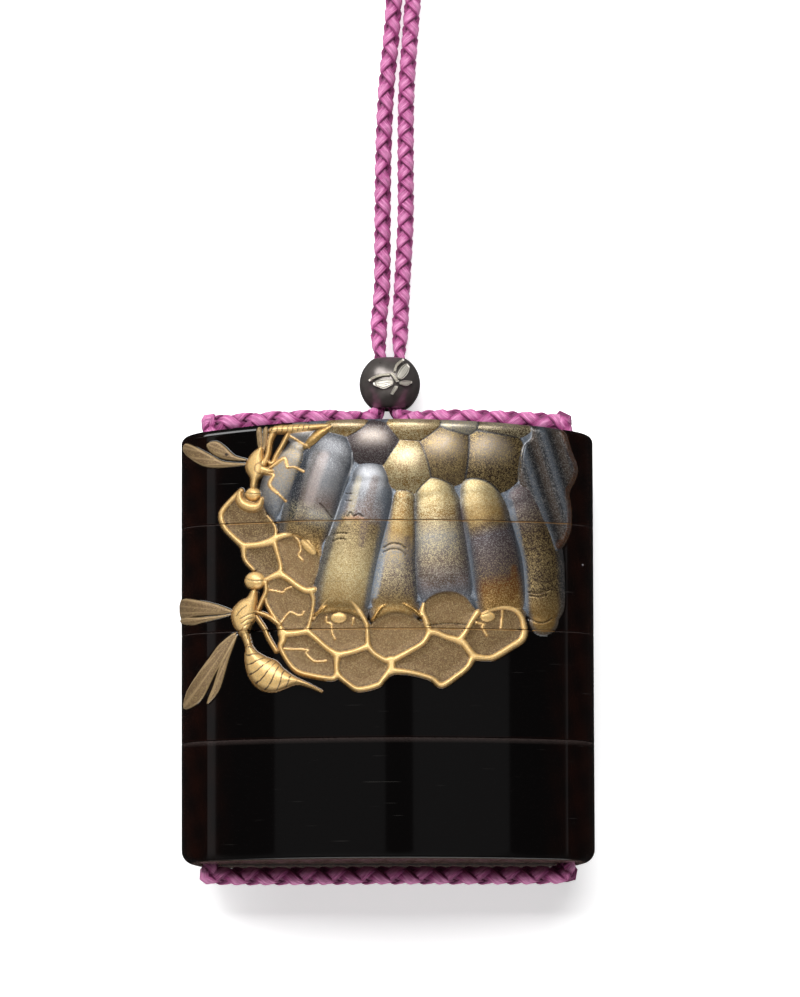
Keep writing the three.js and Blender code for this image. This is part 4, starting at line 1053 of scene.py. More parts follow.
def write_finish(mesh, points, front, relief):
    """Colours and roughness at each vertex: the relief's own in front, and bare lacquer elsewhere. Bare
    lacquer is worn brown at the sides and the seams and duller at the ends. A thin lip shows under each
    seam in front, and the underside is painted brown, a painted reflection of the table under it."""
    x, y, z = points.T
    bare_lacquer = np.append(tone("lacquer"), 0.0)
    ground = np.tile(bare_lacquer, (len(points), 1))
    flake = ground.copy()
    gloss = np.full(len(points), BARE_GLOSS)
    ground[front] = np.column_stack([relief.ground, relief.dust])
    flake[front] = np.column_stack([relief.flake, relief.metal])
    gloss[front] = relief.rough
    bare = ramp(flake[:, 3], 0.05, 0.0)
    seams = np.array([BASE_Y, LOWER_SEAM_Y, MIDDLE_SEAM_Y, LID_SEAM_Y, TOP_Y])
    to_seam = np.abs(y[:, None] - seams).min(1)
    cloud = 0.6 + 0.4 * np.sin(0.9 * y + 0.7 * x) * np.sin(0.35 * y - 1.3 * x)
    worn = 0.6 * cloud * ramp(np.abs(x), 22, 31) + 0.25 * ramp(to_seam, 0.3, 0.1)
    ground[:, :3] = between(ground[:, :3], "brown_lacquer", bare * np.clip(worn, 0, 1))
    to_end = np.abs(y - np.where(np.abs(y - TOP_Y) < 3, lid_top_at(x), BASE_Y))
    gloss += bare * 0.2 * ramp(to_end, 0.9, 0.3)
    below = (seams[1:4] - y[:, None]).clip(0, None)
    lip = np.where(below > 0, ramp(below, 0.19, 0.09), 0).max(1) * (z > AXIS_Z)
    ground[:, :3] = between(ground[:, :3], between("seam_gold", "seam", bare), lip)
    # Painted reflection: the underside is lighter brown, standing in for the table mirrored in it.
    ground[:, :3] = between(ground[:, :3], "underside", ramp(y, BASE_Y + 0.2, BASE_Y + 0.02))
    write_attribute(mesh, "ground", "FLOAT_COLOR", ground)
    write_attribute(mesh, "flake", "FLOAT_COLOR", flake)
    write_attribute(mesh, "gloss", "FLOAT", gloss)


def tier(name, low, high, columns, rows, base=False, dome=False):
    """One tier: its outside, its riser and its rooms, joined and cut, then the relief raised on its
    front."""
    top = high if dome else high - SEAM_GAP
    made = mesh_object(name, *loft(outside_rings(low, top, base, dome, columns, rows)))
    tools = []
    if not dome:
        riser = compartment(RISER_HALF_WIDTH, RISER_INSET, high - FLOOR, high + RISER_HEIGHT)
        tools.append(("UNION", *riser))
    for x in (-CHANNEL_X, CHANNEL_X):
        tools.append(("DIFFERENCE", *channel(x, low, top)))
    if not base:
        recess = compartment(RECESS_HALF_WIDTH, OUTER_WALL, low - 1, low + RECESS_DEPTH)
        tools.append(("DIFFERENCE", *recess))
    floor = low + (BASE_FLOOR if base else RECESS_DEPTH + FLOOR)
    ceiling = high + RISER_HEIGHT + 1
    if dome:
        floor, ceiling = low, float(lid_top_at(POCKET_HALF_WIDTH)) - LID_ROOF
    tools.append(("DIFFERENCE", *compartment(POCKET_HALF_WIDTH, POCKET_INSET, floor, ceiling)))
    carve(made, tools)
    made.data.shade_smooth()
    made.data.set_sharp_from_angle(angle=math.radians(30))
    raise_front(made.data)
    return made


def raised_lacquer():
    """Black polished lacquer, and over it raised pictures strewn with gold and silver powder: deep gloss
    where it is bare, and a fine metal grain where it is strewn."""
    material, tree, output = new_material("raised_gold_and_silver_lacquer")
    ground = add(tree, "ShaderNodeAttribute", attribute_name="ground")
    flake = add(tree, "ShaderNodeAttribute", attribute_name="flake")
    gloss = add(tree, "ShaderNodeAttribute", attribute_name="gloss")
    place = add(tree, "ShaderNodeTexCoord").outputs["Object"]
    grain = add(tree, "ShaderNodeTexVoronoi", {"Vector": place, "Scale": 1 / (0.11 * MM)})
    speck = add(tree, "ShaderNodeSeparateColor", {"Color": grain.outputs["Color"]})
    cloud = add(tree, "ShaderNodeTexNoise", {"Vector": place, "Scale": 1 / (1.6 * MM), "Detail": 3.0})
    share = add(tree, "ShaderNodeMath", {0: ground.outputs["Alpha"], 1: cloud.outputs["Fac"]},
                operation="MULTIPLY")
    over = add(tree, "ShaderNodeMath", {0: share.outputs[0], 1: speck.outputs["Red"]}, operation="SUBTRACT")
    shown = add(tree, "ShaderNodeMapRange", {"Value": over.outputs[0], "From Min": -0.4, "From Max": 0.4})
    mixed = add(tree, "ShaderNodeMix", {"Factor": shown.outputs[0], 6: ground.outputs["Color"],
                                        7: flake.outputs["Color"]}, data_type="RGBA")
    vary = add(tree, "ShaderNodeMapRange", {"Value": speck.outputs["Green"], "To Min": 0.82, "To Max": 1.18})
    lit = add(tree, "ShaderNodeVectorMath", {0: mixed.outputs[2], "Scale": vary.outputs[0]},
              operation="SCALE")
    bumps = add(tree, "ShaderNodeMath", {0: speck.outputs["Blue"], 1: flake.outputs["Alpha"]},
                operation="MULTIPLY")
    bump = add(tree, "ShaderNodeBump", {"Height": bumps.outputs[0], "Strength": 0.35, "Distance": 0.05 * MM})
    turned = add(tree, "ShaderNodeMapping", {"Vector": place, "Rotation": (0.0, 0.0, 0.35),
                                             "Scale": (150.0, 5200.0, 150.0)})
    rubbed = add(tree, "ShaderNodeTexNoise", {"Vector": turned.outputs[0], "Scale": 1.0, "Detail": 1.0})
    hair = add(tree, "ShaderNodeMapRange", {"Value": rubbed.outputs["Fac"], "From Min": 0.76,
                                            "From Max": 0.86})
    scratch = (*linear(HEX["scratch"]), 1)
    lit = add(tree, "ShaderNodeMix", {"Factor": hair.outputs[0], 6: lit.outputs[0], 7: scratch},
              data_type="RGBA")
    shader = add(tree, "ShaderNodeBsdfPrincipled", {
        "Base Color": lit.outputs[2], "Metallic": flake.outputs["Alpha"], "Roughness": gloss.outputs["Fac"],
        "IOR": 1.53, "Normal": bump.outputs["Normal"]})
    tree.links.new(shader.outputs[0], output.inputs["Surface"])
    return material


# ------------------------------------------------------------------ cord


def carried_frames(path):
    """Two unit vectors across a path that don't twist along it: the first is the one before, with its part
    along the path taken away, and the second is square to it and to the path."""
    along = np.gradient(path, axis=0)
    along /= np.linalg.norm(along, axis=1, keepdims=True)
    across = np.zeros_like(path)
    guess = np.array([1.0, 0.0, 0.0]) if abs(along[0, 0]) < 0.9 else np.array([0.0, 0.0, 1.0])
    for i, direction in enumerate(along):
        guess = guess - direction * (guess @ direction)
        guess /= np.linalg.norm(guess)
        across[i] = guess
    return across, np.cross(along, across)


def even_path(points, step):
    """The same line, with points a fixed step apart."""
    fine = smooth(points, steps=12)
    reached = np.concatenate([[0], np.cumsum(np.linalg.norm(np.diff(fine, axis=0), axis=1))])
    places = np.linspace(0, reached[-1], max(int(reached[-1] / step), 8))
    return np.stack([np.interp(places, reached, fine[:, i]) for i in range(3)], -1), places


# Shallow flutes along a strand, like the lines between its threads.
FLUTES = 7
FLUTE_DEPTH = 0.05


def plait(name, route, scale_at, lobe, half_width, half_thick, wind_radius, swing, step=0.22, sides=14):
    """Four strands plaited round a route. Two wind one way and two the other, at the angle pi s / lobe;
    each swings in and out as cos(2 pi s / lobe), so that they pass over and under in turn. A strand's own
    section is an ellipse that lies flat on the cord, with shallow flutes, like a bundle of threads. Gives
    the cord, the points of its centre line and its length."""
    centre, reached = even_path(route, step)
    right, up = carried_frames(centre)
    scale = scale_at(reached, reached[-1])[:, None]
    turn = np.linspace(0, 2 * math.pi, sides + 1)[:-1]
    points, faces, uvs, depths = [], [], [], []
    for k, hand in enumerate((1, 1, -1, -1)):
        wind = hand * (math.pi * reached / lobe) + math.pi * (k % 2 + 0.25)
        radius = (wind_radius + hand * swing * np.cos(2 * math.pi * reached / lobe))[:, None] * scale
        middle = centre + radius * (np.cos(wind)[:, None] * right + np.sin(wind)[:, None] * up)
        ahead = np.gradient(middle, axis=0)
        ahead /= np.linalg.norm(ahead, axis=1, keepdims=True)
        outward = middle - centre
        outward -= ahead * (outward * ahead).sum(1, keepdims=True)
        outward /= np.linalg.norm(outward, axis=1, keepdims=True)
        sideways = np.cross(ahead, outward)
        fluted = (1 + FLUTE_DEPTH * np.cos(FLUTES * turn))[None, :, None] * scale[:, None]
        spoke = half_thick * np.cos(turn)[None, :, None] * outward[:, None]
        spoke = spoke + half_width * np.sin(turn)[None, :, None] * sideways[:, None]
        rings = middle[:, None] + fluted * spoke
        strand_points, strand_faces = loft(rings, sum(len(part) for part in points))
        points.append(strand_points)
        faces += strand_faces
        uv = np.stack(np.broadcast_arrays(reached[:, None], turn[None, :] / (2 * math.pi)), -1).reshape(-1, 2)
        # Painted shade and highlight: a point is drawn darker the deeper it lies in the cord and at each
        # strand's edges, and lighter on the strands' outer faces.
        out = np.linalg.norm(rings - centre[:, None], axis=-1) / scale
        uvs.append(np.vstack([uv, uv[:1], uv[-1:]]))
        out = out * (0.68 + 0.32 * np.cos(turn)[None, :] ** 2)
        depths.append(np.concatenate([out.ravel(), out[0, :1] * 0, out[-1, :1] * 0]))
    made = mesh_object(name, np.vstack(points), faces)
    made.data.shade_smooth()
    place = np.vstack(uvs)
    most = wind_radius + swing + half_thick
    depth = ramp(np.concatenate(depths), 0.5 * most, 1.0 * most)
    write_attribute(made.data, "thread", "FLOAT_COLOR", np.column_stack([place, depth * 0, depth]))
    return made, centre, reached[-1]


# How far the cord's middle lies off the lid's top and the base.
CORD_OFF = 1.65


def held_route():
    """From the bead over the lid, down a channel, under the base, and back the other way as its mirror
    image."""

    def over_lid(x):
        """The height of the cord's middle where it lies on the lid."""
        return float(lid_top_at(x)) + CORD_OFF

    under = BASE_Y - CORD_OFF
    half = [
        (-1.0, 37.6, 4.6), (-1.3, 36.3, 4.9), (-2.1, 35.5, 5.6), (-3.6, over_lid(3.6) + 0.1, 7.0),
        (-6.5, over_lid(6.5), 9.3), (-12, over_lid(12), 11.2), (-21, over_lid(21), AXIS_Z),
        (-24.9, over_lid(24.9), AXIS_Z), (-26.2, 33.1, AXIS_Z), (-CHANNEL_X, 31.5, AXIS_Z),
        (-CHANNEL_X, 0, AXIS_Z), (-CHANNEL_X, -31.6, AXIS_Z), (-CHANNEL_X + 0.4, -33.7, AXIS_Z),
        (-CHANNEL_X + 1.8, under, AXIS_Z),
    ]
    mirrored = [(-x, y, z) for x, y, z in half[::-1]]
    return even_path([*half, (0, under, AXIS_Z), *mirrored], 1.0)[0]


# The free strands: how high their middle lies over the table, the coil's centre, and their straight parts.
LIE_Z = 1.52
COIL_CENTRE = np.array([21.0, 129.0])
LEFT_STRAND = [(-0.75, 42.6, 4.55), (-1.05, 44.8, 4.5), (-1.25, 47.5, 3.3), (-1.2, 51, 1.9),
               (-0.75, 56, LIE_Z), (-0.65, 66, LIE_Z), (-0.5, 76, LIE_Z), (-0.05, 86, LIE_Z),
               (0.9, 96, LIE_Z), (1.4, 105, LIE_Z), (1.2, 113.5, LIE_Z)]
RIGHT_STRAND = [(1.55, 42.6, 4.55), (1.85, 44.8, 4.5), (1.95, 47.5, 3.3), (2.05, 51, 1.9), (2.3, 56, LIE_Z),
                (2.85, 66, LIE_Z), (2.9, 76, LIE_Z), (3.05, 86, LIE_Z), (3.75, 96, LIE_Z),
                (4.35, 104, LIE_Z), (4.4, 111.5, LIE_Z)]


def spiral_in(first_radius, turns=1.25, drop=6.2, inner=3.4):
    """A flat spiral, clockwise from the left of the coil: the radius falls evenly, then closes on the
    knot."""
    turn = np.linspace(0, turns, int(turns * 20))
    radius = first_radius - drop * turn
    close = ramp(turn, 1.0, turns)
    radius = radius * (1 - close) + inner * close
    angle = math.pi - 2 * math.pi * turn
    x, y = COIL_CENTRE[0] + radius * np.cos(angle), COIL_CENTRE[1] + radius * np.sin(angle)
    return np.stack([x, y, np.full(turn.size, LIE_Z)], -1)


def strand_route(start, first_radius):
    """A free strand: its straight part, then the coil's turns."""
    return np.vstack([np.array(start, float), spiral_in(first_radius)[1:]])


def held_scale(reached, length):
    """The held cord is thinner where both its ends enter the bead."""
    return 0.72 + 0.28 * ramp(np.minimum(reached, length - reached), 0.5, 4.0)


def strand_scale(reached, length):
    """A free strand is thinner where it leaves the bead."""
    return 0.7 + 0.3 * ramp(reached, 1.5, 6.5)


def even_scale(reached, length):
    """The same all along."""
    return np.ones_like(reached)


def plaited_silk():
    """Plaited silk cord: fine glossy threads run along each strand in lighter and darker streaks, and
    painted shade darkens the silk deeper down between the strands, with a painted highlight on their outer
    faces."""
    material, tree, output = new_material("plaited_magenta_silk")
    thread = add(tree, "ShaderNodeAttribute", attribute_name="thread")
    stretch = add(tree, "ShaderNodeVectorMath", {0: thread.outputs["Vector"], 1: (0.7, 24.0, 1.0)},
                  operation="MULTIPLY")
    lines = add(tree, "ShaderNodeTexNoise", {"Vector": stretch.outputs[0], "Scale": 1.0, "Detail": 3.0,
                                             "Roughness": 0.6})
    spread = add(tree, "ShaderNodeMapRange", {"Value": lines.outputs["Fac"], "From Min": 0.3, "From Max": 0.7,
                                              "To Min": -0.5, "To Max": 0.3})
    # Painted shade and highlight: depth in the cord darkens or lightens the silk, over the threads' own
    # streaks.
    level = add(tree, "ShaderNodeMath", {0: thread.outputs["Alpha"], 1: spread.outputs[0]}, operation="ADD")
    tones = add(tree, "ShaderNodeValToRGB", {"Fac": level.outputs[0]})
    tones.color_ramp.elements[0].position, tones.color_ramp.elements[1].position = 0.0, 1.0
    tones.color_ramp.elements[0].color = (*linear(HEX["silk_dark"]), 1)
    tones.color_ramp.elements[1].color = (*linear(HEX["silk_light"]), 1)
    middle = tones.color_ramp.elements.new(0.5)
    middle.color = (*bpy.context.scene.inro_cord.silk_colour, 1)
    bump = add(tree, "ShaderNodeBump", {"Height": lines.outputs["Fac"], "Strength": 0.8,
                                        "Distance": 0.2 * MM})
    shader = add(tree, "ShaderNodeBsdfPrincipled", {
        "Base Color": tones.outputs["Color"], "Roughness": 0.52, "IOR": 1.54, "Sheen Weight": 0.15,
        "Sheen Roughness": 0.35, "Sheen Tint": (1.0, 0.6, 0.88, 1), "Normal": bump.outputs["Normal"]})
    tree.links.new(shader.outputs[0], output.inputs["Surface"])
    return material


# ------------------------------------------------------------------ bead and butterfly

BEAD_RADIUS = 4.6
BEAD_BORE_RADIUS = 2.35
BEAD_CENTRE = np.array([0.4, 40.5, 4.55])

# The butterfly, square on from the bead's middle: each leaf is one edge, the other edge, both from root to
# tip, and its height.
LEAVES = [
    ([(0.02, 0.92), (0.5, 0.32), (0.92, -0.35)], [(0.32, 1.1), (0.82, 0.5), (1.28, -0.2)], 0.7),
    ([(0.15, 0.98), (-1.2, 0.9), (-2.4, 0.53), (-3.05, -0.02)], [(0.2, 0.62), (-1.15, 0.55), (-2.25, 0.2),
                                                                 (-2.8, -0.18)],
     0.55),
    ([(0.62, 0.05), (-0.6, 0.22), (-1.8, 0.02), (-2.5, -0.36)], [(0.62, -0.5), (-0.1, -1.0), (-0.95, -1.25),
                                                                 (-2.4, -0.55)],
     0.36),
    ([(0.56, 1.2), (0.82, 2.25), (1.9, 3.3)], [(0.88, 1.2), (1.16, 2.1), (2.12, 3.0)], 0.55),
    ([(1.0, 0.6), (1.4, 1.65), (2.0, 2.4), (2.62, 2.62)], [(1.3, 0.15), (1.95, 0.25), (2.65, 1.1),
                                                           (2.85, 2.2)], 0.36),
    ([(1.4, -0.2), (2.3, 0.05), (3.2, 0.02)], [(1.4, -0.55), (2.3, -0.78), (3.22, -0.22)], 0.36),
    ([(0.75, -0.75), (0.45, -1.3), (0.1, -1.95)], [(1.25, -0.85), (0.9, -1.45), (0.42, -2.02)], 0.36),
]


def bead_rings(columns=96, rows=64):
    """A ball bored along Y: a circle's arc down to the bore with rolled lips, back through the bore."""
    rim = math.acos(BEAD_BORE_RADIUS / BEAD_RADIUS)
    polar = np.linspace(-rim, rim, rows)
    radius, height = BEAD_RADIUS * np.cos(polar), BEAD_RADIUS * np.sin(polar)
    lip = ramp(np.abs(polar), rim - 0.09, rim)
    radius, height = radius - 0.05 * lip, height * (1 - 0.02 * lip)
    inner = np.linspace(height[-1], height[0], 10)[1:-1]
    radius = np.concatenate([radius, np.full(inner.size, BEAD_BORE_RADIUS - 0.12)])
    height = np.concatenate([height, inner])
    turn = np.linspace(0, 2 * math.pi, columns + 1)[:-1]
    x = radius[:, None] * np.cos(turn)
    z = np.maximum(-radius[:, None] * np.sin(turn), -BEAD_CENTRE[2])
    return np.stack([x, np.broadcast_to(height[:, None], x.shape), z], -1) + BEAD_CENTRE


def ring_of_rings(rings):
    """A skin that closes on itself both ways, such as a bored ball."""
    rows, columns = rings.shape[:2]
    c = np.arange(columns)
    r = np.arange(rows)[:, None]
    d, s = (c + 1) % columns, (r + 1) % rows
    faces = np.stack([r * columns + c, r * columns + d, s * columns + d, s * columns + c], -1)
    return rings.reshape(-1, 3), faces.reshape(-1, 4).tolist()


def leaf(one, other, height, steps=48, sides=30):
    """A leaf on the ball between two edges: a raised border, a groove inside it, and veins that fan from
    the root. The upper skin stands `height` over the ball and the under skin lies inside it."""
    one, other = (even_path([(x, y, 0) for x, y in edge], 0.02)[0][:, :2] for edge in (one, other))
    t = np.linspace(0, 1, steps)

    def evened(edge):
        """The same edge, with one point for each step."""
        places = np.linspace(0, 1, len(edge))
        return np.stack([np.interp(t, places, edge[:, i]) for i in (0, 1)], -1)[:, None]

    one, other = evened(one), evened(other)
    s = np.linspace(0, 1, sides)[None, :, None]
    close = ramp(t, 0.0, 0.06)[:, None, None] * ramp(t, 1.0, 0.94)[:, None, None]
    middle = 0.5 * (one + other)
    flat = middle + (one + s * (other - one) - middle) * (0.15 + 0.85 * close**0.5)
    edge = np.abs(2 * s[..., 0] - 1) * np.ones((steps, 1))
    border = ramp(edge, 0.66, 0.8) * ramp(edge, 1.02, 0.9)
    end = np.maximum(border, ramp(t, 0.86, 0.93)[:, None] * ramp(t, 1.01, 0.96)[:, None])
    veins = (0.5 + 0.5 * np.cos(34 * s[..., 0])) * np.ones((steps, 1))
    field = (1 - ramp(edge, 0.55, 0.68)) * ramp(t, 0.9, 0.82)[:, None]
    relief = 0.42 + 0.5 * end + (0.25 + 0.2 * veins) * field
    ends = ramp(t, 0.0, 0.05)[:, None], ramp(t, 1.0, 0.96)[:, None]
    lift = height * relief * ramp(edge, 1.0, 0.92) * ends[0] * ends[1] + 0.06
    around = np.sqrt(np.maximum(BEAD_RADIUS**2 - (flat**2).sum(-1), 0.5))
    ball = np.concatenate([flat, around[..., None]], -1) / BEAD_RADIUS
    top = ball * (BEAD_RADIUS + lift)[..., None] + BEAD_CENTRE
    under = ball * np.full_like(lift, BEAD_RADIUS - 0.15)[..., None] + BEAD_CENTRE
    rings = np.concatenate([top, under[:, ::-1]], axis=1)
    lifts = np.concatenate([relief, lift[:, ::-1] * 0], axis=1)
    across, along = other[0, 0] - one[0, 0], middle[-1, 0] - middle[0, 0]
    turned = across[0] * along[1] - across[1] * along[0] > 0
    return (rings, lifts) if turned else (rings[:, ::-1], lifts[:, ::-1])


def patinated_alloy():
    """Patinated silver and copper alloy, cast and burnished: a warm grey metal with a soft broad shine."""
    material, tree, output = new_material("patinated_silver_copper_alloy")
    place = add(tree, "ShaderNodeTexCoord").outputs["Object"]
    mottle = add(tree, "ShaderNodeTexNoise", {"Vector": place, "Scale": 1 / (1.2 * MM), "Detail": 5.0})
    tones = add(tree, "ShaderNodeValToRGB", {"Fac": mottle.outputs["Fac"]})
    base = np.array(bpy.context.scene.inro_bead.bead_colour)
    tones.color_ramp.elements[0].color = (*(base * 0.6), 1)
    tones.color_ramp.elements[1].color = (*(base * 1.2), 1)
    rough = add(tree, "ShaderNodeMapRange", {"Value": mottle.outputs["Fac"], "To Min": 0.24, "To Max": 0.36})
    shader = add(tree, "ShaderNodeBsdfPrincipled", {
        "Base Color": tones.outputs["Color"], "Metallic": 0.7, "Roughness": rough.outputs[0]})
    tree.links.new(shader.outputs[0], output.inputs["Surface"])
    return material


def chased_silver():
    """Silver, chased with a fine punch: bright on its ridges and dark with tarnish in its grooves."""
    material, tree, output = new_material("chased_silver")
    lift = add(tree, "ShaderNodeAttribute", attribute_name="lift")
    tones = add(tree, "ShaderNodeValToRGB", {"Fac": lift.outputs["Fac"]})
    tones.color_ramp.elements[0].position, tones.color_ramp.elements[1].position = 0.4, 0.72
    tones.color_ramp.elements[0].color = (*linear(HEX["tarnish"]), 1)
    tones.color_ramp.elements[1].color = (*linear(HEX["inlay"]), 1)
    shader = add(tree, "ShaderNodeBsdfPrincipled", {
        "Base Color": tones.outputs["Color"], "Metallic": 0.5, "Roughness": 0.36})
    tree.links.new(shader.outputs[0], output.inputs["Surface"])
    return material


# ------------------------------------------------------------------ stage


def pale_paper():
    """A smooth pale table with a soft light of its own, which keeps the shadows light."""
    material, tree, output = new_material("pale_table")
    shader = add(tree, "ShaderNodeBsdfPrincipled", {
        "Base Color": (*linear(HEX["table"]), 1), "Roughness": 0.9, "Emission Color": (1, 1, 1, 1),
        "Emission Strength": 0.5})
    tree.links.new(shader.outputs[0], output.inputs["Surface"])
    return material


def softbox(name, place, aim, size, power):
    """A rectangular soft light at a place, turned to face another, in metres and watts."""
    lamp = bpy.data.lights.new(name, "AREA")
    lamp.shape, lamp.size, lamp.size_y, lamp.energy = "RECTANGLE", size[0], size[1], power
    made = bpy.data.objects.new(name, lamp)
    bpy.context.scene.collection.objects.link(made)
    made.location = place
    back = (Vector(place) - Vector(aim)).normalized()
    side = Vector((back.z, 0, -back.x)).normalized()
    made.rotation_euler = Matrix((side, back.cross(side), back)).transposed().to_euler()


# ------------------------------------------------------------------ settings


def colour_property(name, description, default):
    """A colour for the panel, given as sRGB hex."""
    return bpy.props.FloatVectorProperty(name=name, description=description, default=linear(default),
                                         subtype="COLOR", size=3, min=0, max=1)


def length_property(name, description, default):
    """A length for the panel, given in millimetres."""
    return bpy.props.FloatProperty(name=name, description=description, default=default * MM, min=0,
                                   unit="LENGTH", subtype="DISTANCE", precision=5)


class InroCaseSettings(bpy.types.PropertyGroup):
    """How finely the tiers that carry the relief are divided"""

    columns: bpy.props.IntProperty(name="Columns", description="Points across the front of a decorated tier",
                                   default=560, min=40)
    rows: bpy.props.IntProperty(name="Rows", description="Points up the front of a decorated tier",
                                default=128, min=4)


class InroCordSettings(bpy.types.PropertyGroup):
    """The silk cord"""

    silk_colour: colour_property("Silk", "Colour of the cord's threads", HEX["silk"])
    diameter: length_property("Diameter", "Diameter that the free strands are declared with", 2.7)


class InroBeadSettings(bpy.types.PropertyGroup):
    """The metal bead"""

    bead_colour: colour_property("Bead", "Colour of the bead's metal", HEX["bead"])


class InroStageSettings(bpy.types.PropertyGroup):
    """The camera and the lights"""

    distance: length_property("Distance", "From the camera to what it looks at", 1292)
    tilt: bpy.props.FloatProperty(name="Tilt", description="How far the camera leans towards the base end",
                                  default=math.radians(6.71), subtype="ANGLE")
    roll: bpy.props.FloatProperty(name="Roll", description="Turn of the camera about its own line of sight",
                                  default=math.radians(-0.2), subtype="ANGLE")
    lens: bpy.props.FloatProperty(name="Lens", description="Focal length in millimetres", default=309.5,
                                  min=10)
    key_power: bpy.props.FloatProperty(name="Key", description="Power of the large light at the lid end",
                                       default=22, unit="POWER")
    low_power: bpy.props.FloatProperty(name="Low box", description="Power of the low light at the upper left",
                                       default=9, unit="POWER")
    strip_power: bpy.props.FloatProperty(name="Strips", default=0.03, unit="POWER",
                                         description="Power of the right strip; the left has three times it")
    ceiling_power: bpy.props.FloatProperty(name="Ceiling", description="Power of each faint panel overhead",
                                           default=0.1, unit="POWER")
    fill_power: bpy.props.FloatProperty(name="Fill", description="Power of the light at the base end",
                                        default=6.0, unit="POWER")
    room_light: bpy.props.FloatProperty(name="Room", description="Strength of the light all round",
                                        default=0.02)


# ------------------------------------------------------------------ operators


class INRO_OT_make_tiers(bpy.types.Operator):
    """Make the lid and the three cases, with the relief on their front"""

    bl_idname = "inro.make_tiers"
    bl_label = "Lid and cases"

    def execute(self, context):
        settings = context.scene.inro_case
        finish = raised_lacquer()
        fine = {"columns": settings.columns, "rows": settings.rows}
        plain = {"columns": 240, "rows": 24}
        for name, low, high, options in (
            ("lower_case", BASE_Y, LOWER_SEAM_Y, {"base": True, **plain}),
            ("middle_case", LOWER_SEAM_Y, MIDDLE_SEAM_Y, fine),
            ("upper_case", MIDDLE_SEAM_Y, LID_SEAM_Y, fine),
            ("lid", LID_SEAM_Y, TOP_Y, {"dome": True, **fine}),
        ):
            made = tier(name + "_lacquered", low, high, **options)
            settle(made, "lacquer", finish, name)
        return {"FINISHED"}


class INRO_OT_thread_cord(bpy.types.Operator):
    """Make the cord that holds the tiers together"""

    bl_idname = "inro.thread_cord"
    bl_label = "Cord through the case"

    def execute(self, context):
        made = plait("cord_held", held_route(), held_scale, lobe=4.35, half_width=0.98, half_thick=0.46,
                     wind_radius=0.7, swing=0.26, step=0.26)[0]
        settle(made, "silk", plaited_silk(), "cord_through_case")
        return {"FINISHED"}


class INRO_OT_lay_strands(bpy.types.Operator):
    """Lay out the two free strands and their knot"""

    bl_idname = "inro.lay_strands"
    bl_label = "Free strands"

    def execute(self, context):
        silk = plaited_silk()
        knot = self.tie_knot(silk)
        for name, start, radius, lobe, nodes in (
            ("cord_left", LEFT_STRAND, 20.2, 4.0, ("cord_strand_left", "cord_coil")),
            ("cord_right", RIGHT_STRAND, 17.1, 3.45, ("cord_strand_right",)),
        ):
            made, centre, length = plait(name, strand_route(start, radius), strand_scale, lobe=lobe,
                                         half_width=0.9, half_thick=0.42, wind_radius=0.69, swing=0.22,
                                         step=0.26)
            settle(made, "silk", silk, *nodes)
        return {"FINISHED"}

    def tie_knot(self, silk):
        """The knot that joins the strands: a trefoil, (sin t + 2 sin 2t, cos t - 2 cos 2t, -sin 3t)."""
        t = np.linspace(0, 2 * math.pi, 60)
        x, y, z = np.sin(t) + 2 * np.sin(2 * t), np.cos(t) - 2 * np.cos(2 * t), -np.sin(3 * t)
        route = np.stack([COIL_CENTRE[0] + 0.8 * x, COIL_CENTRE[1] + 0.72 * y, 2.6 + 1.1 * z], -1)
        made = plait("cord_end_knot", route, even_scale, lobe=3.6, half_width=0.78, half_thick=0.4,
                     wind_radius=0.58, swing=0.16, sides=10)[0]
        settle(made, "silk", silk, "cord_knot")
        return made


class INRO_OT_make_bead(bpy.types.Operator):
    """Make the metal bead and the silver butterfly on it"""

    bl_idname = "inro.make_bead"
    bl_label = "Bead and butterfly"

    def execute(self, context):
        bead = mesh_object("bead_burnished", *ring_of_rings(bead_rings()))
        bead.data.shade_smooth()
        settle(bead, "dark_metal", patinated_alloy(), "ojime_bead")
        points, faces, lifts = [], [], []
        for shape in LEAVES:
            rings, lift = leaf(*shape)
            leaf_points, leaf_faces = loft(rings, sum(len(part) for part in points))
            points.append(leaf_points)
            faces += leaf_faces
            lifts.append(np.concatenate([lift.ravel(), [0.1, 0.1]]))
        butterfly = mesh_object("butterfly_chased", np.vstack(points), faces)
        butterfly.data.shade_smooth()
        write_attribute(butterfly.data, "lift", "FLOAT", np.concatenate(lifts))
        settle(butterfly, "silver", chased_silver(), "ojime_butterfly")
        return {"FINISHED"}


# What the camera looks at and how far the table reaches, in millimetres; how far the camera stands to the
# side, as a share of its distance; and how much stronger the left strip is than the right one.
CAMERA_TARGET = (1.925, 22.23, 11.5)
TABLE_REACH = 3000
CAMERA_ASIDE = 5.115 / 1292
LEFT_STRIP_SHARE = 3


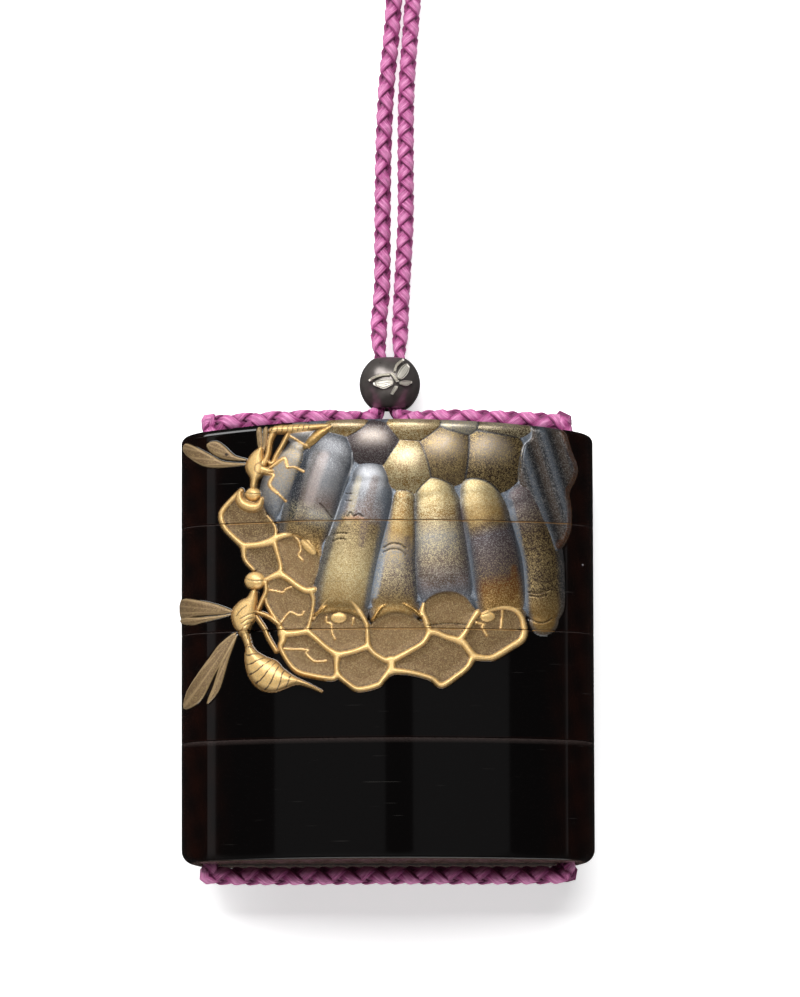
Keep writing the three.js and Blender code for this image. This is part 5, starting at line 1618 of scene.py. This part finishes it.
class INRO_OT_set_stage(bpy.types.Operator):
    """Set the table, the lights and the camera"""

    bl_idname = "inro.set_stage"
    bl_label = "Stage"

    def execute(self, context):
        scene, settings = context.scene, context.scene.inro_stage
        corners = [(TABLE_REACH * x, TABLE_REACH * y, 0) for x, y in ((-1, -1), (1, -1), (1, 1), (-1, 1))]
        table = mesh_object("table", corners, [[0, 1, 2, 3]])
        table.data.materials.append(pale_paper())
        table.visible_glossy = False
        target = Vector(CAMERA_TARGET) * MM
        back = Vector((CAMERA_ASIDE, -math.sin(settings.tilt), math.cos(settings.tilt))).normalized()
        lens = bpy.data.cameras.new("camera")
        lens.lens, lens.sensor_width, lens.clip_start, lens.clip_end = settings.lens, 36, 0.05, 20
        camera = bpy.data.objects.new("camera", lens)
        scene.collection.objects.link(camera)
        camera.location = target + back * settings.distance
        side = Vector((math.cos(settings.roll), math.sin(settings.roll), 0))
        side = (side - back * side.dot(back)).normalized()
        camera.rotation_euler = Matrix((side, back.cross(side), back)).transposed().to_euler()
        scene.camera = camera
        middle = (0, 0.01, 0.012)
        softbox("key", (-0.12, 0.62, 1.2), middle, (1.25, 0.6), settings.key_power)
        softbox("low_box", (-0.75, 0.95, 0.7), middle, (0.8, 0.6), settings.low_power)
        softbox("left_strip", (-0.99, 0.1, 0.93), middle, (0.09, 1.2),
                LEFT_STRIP_SHARE * settings.strip_power)
        softbox("right_strip", (0.99, 0.1, 0.93), middle, (0.04, 1.2), settings.strip_power)
        softbox("left_ceiling", (-0.375, 0.15, 1.31), (-0.375, 0.15, 0), (0.71, 0.5), settings.ceiling_power)
        softbox("right_ceiling", (0.46, 0.15, 1.31), (0.46, 0.15, 0), (0.64, 0.5), settings.ceiling_power)
        softbox("base_fill", (0.1, -1.15, 0.4), middle, (1.4, 0.35), settings.fill_power)
        scene.world = bpy.data.worlds.new("room")
        scene.world.use_nodes = True
        sky = scene.world.node_tree.nodes["Background"]
        sky.inputs["Color"].default_value = (1, 1, 1, 1)
        sky.inputs["Strength"].default_value = settings.room_light
        scene.view_settings.view_transform = "Standard"
        return {"FINISHED"}


class INRO_PT_panel(bpy.types.Panel):
    """The inro case's settings and makers"""

    bl_idname = "INRO_PT_panel"
    bl_label = "Inro case"
    bl_space_type = "VIEW_3D"
    bl_region_type = "UI"
    bl_category = "Inro"

    def draw(self, context):
        for settings in (context.scene.inro_case, context.scene.inro_cord, context.scene.inro_bead,
                         context.scene.inro_stage):
            box = self.layout.box()
            for name in settings.__annotations__:
                box.prop(settings, name)
        for operator in OPERATORS:
            self.layout.operator(operator.bl_idname)


OPERATORS = (INRO_OT_set_stage, INRO_OT_make_tiers, INRO_OT_thread_cord, INRO_OT_lay_strands,
             INRO_OT_make_bead)
SETTINGS = {"inro_case": InroCaseSettings, "inro_cord": InroCordSettings, "inro_bead": InroBeadSettings,
            "inro_stage": InroStageSettings}


def register():
    """Makes the settings, the makers and the panel known."""
    for kind in (*SETTINGS.values(), *OPERATORS, INRO_PT_panel):
        bpy.utils.register_class(kind)
    for name, kind in SETTINGS.items():
        setattr(bpy.types.Scene, name, bpy.props.PointerProperty(type=kind))


def unregister():
    """Takes them away again."""
    for name in SETTINGS:
        delattr(bpy.types.Scene, name)
    for kind in reversed((*SETTINGS.values(), *OPERATORS, INRO_PT_panel)):
        bpy.utils.unregister_class(kind)


def main():
    """Makes the whole object and its stage."""
    register()
    bpy.ops.inro.set_stage()
    bpy.ops.inro.make_tiers()
    bpy.ops.inro.thread_cord()
    bpy.ops.inro.lay_strands()
    bpy.ops.inro.make_bead()


if __name__ == "__main__":
    main()
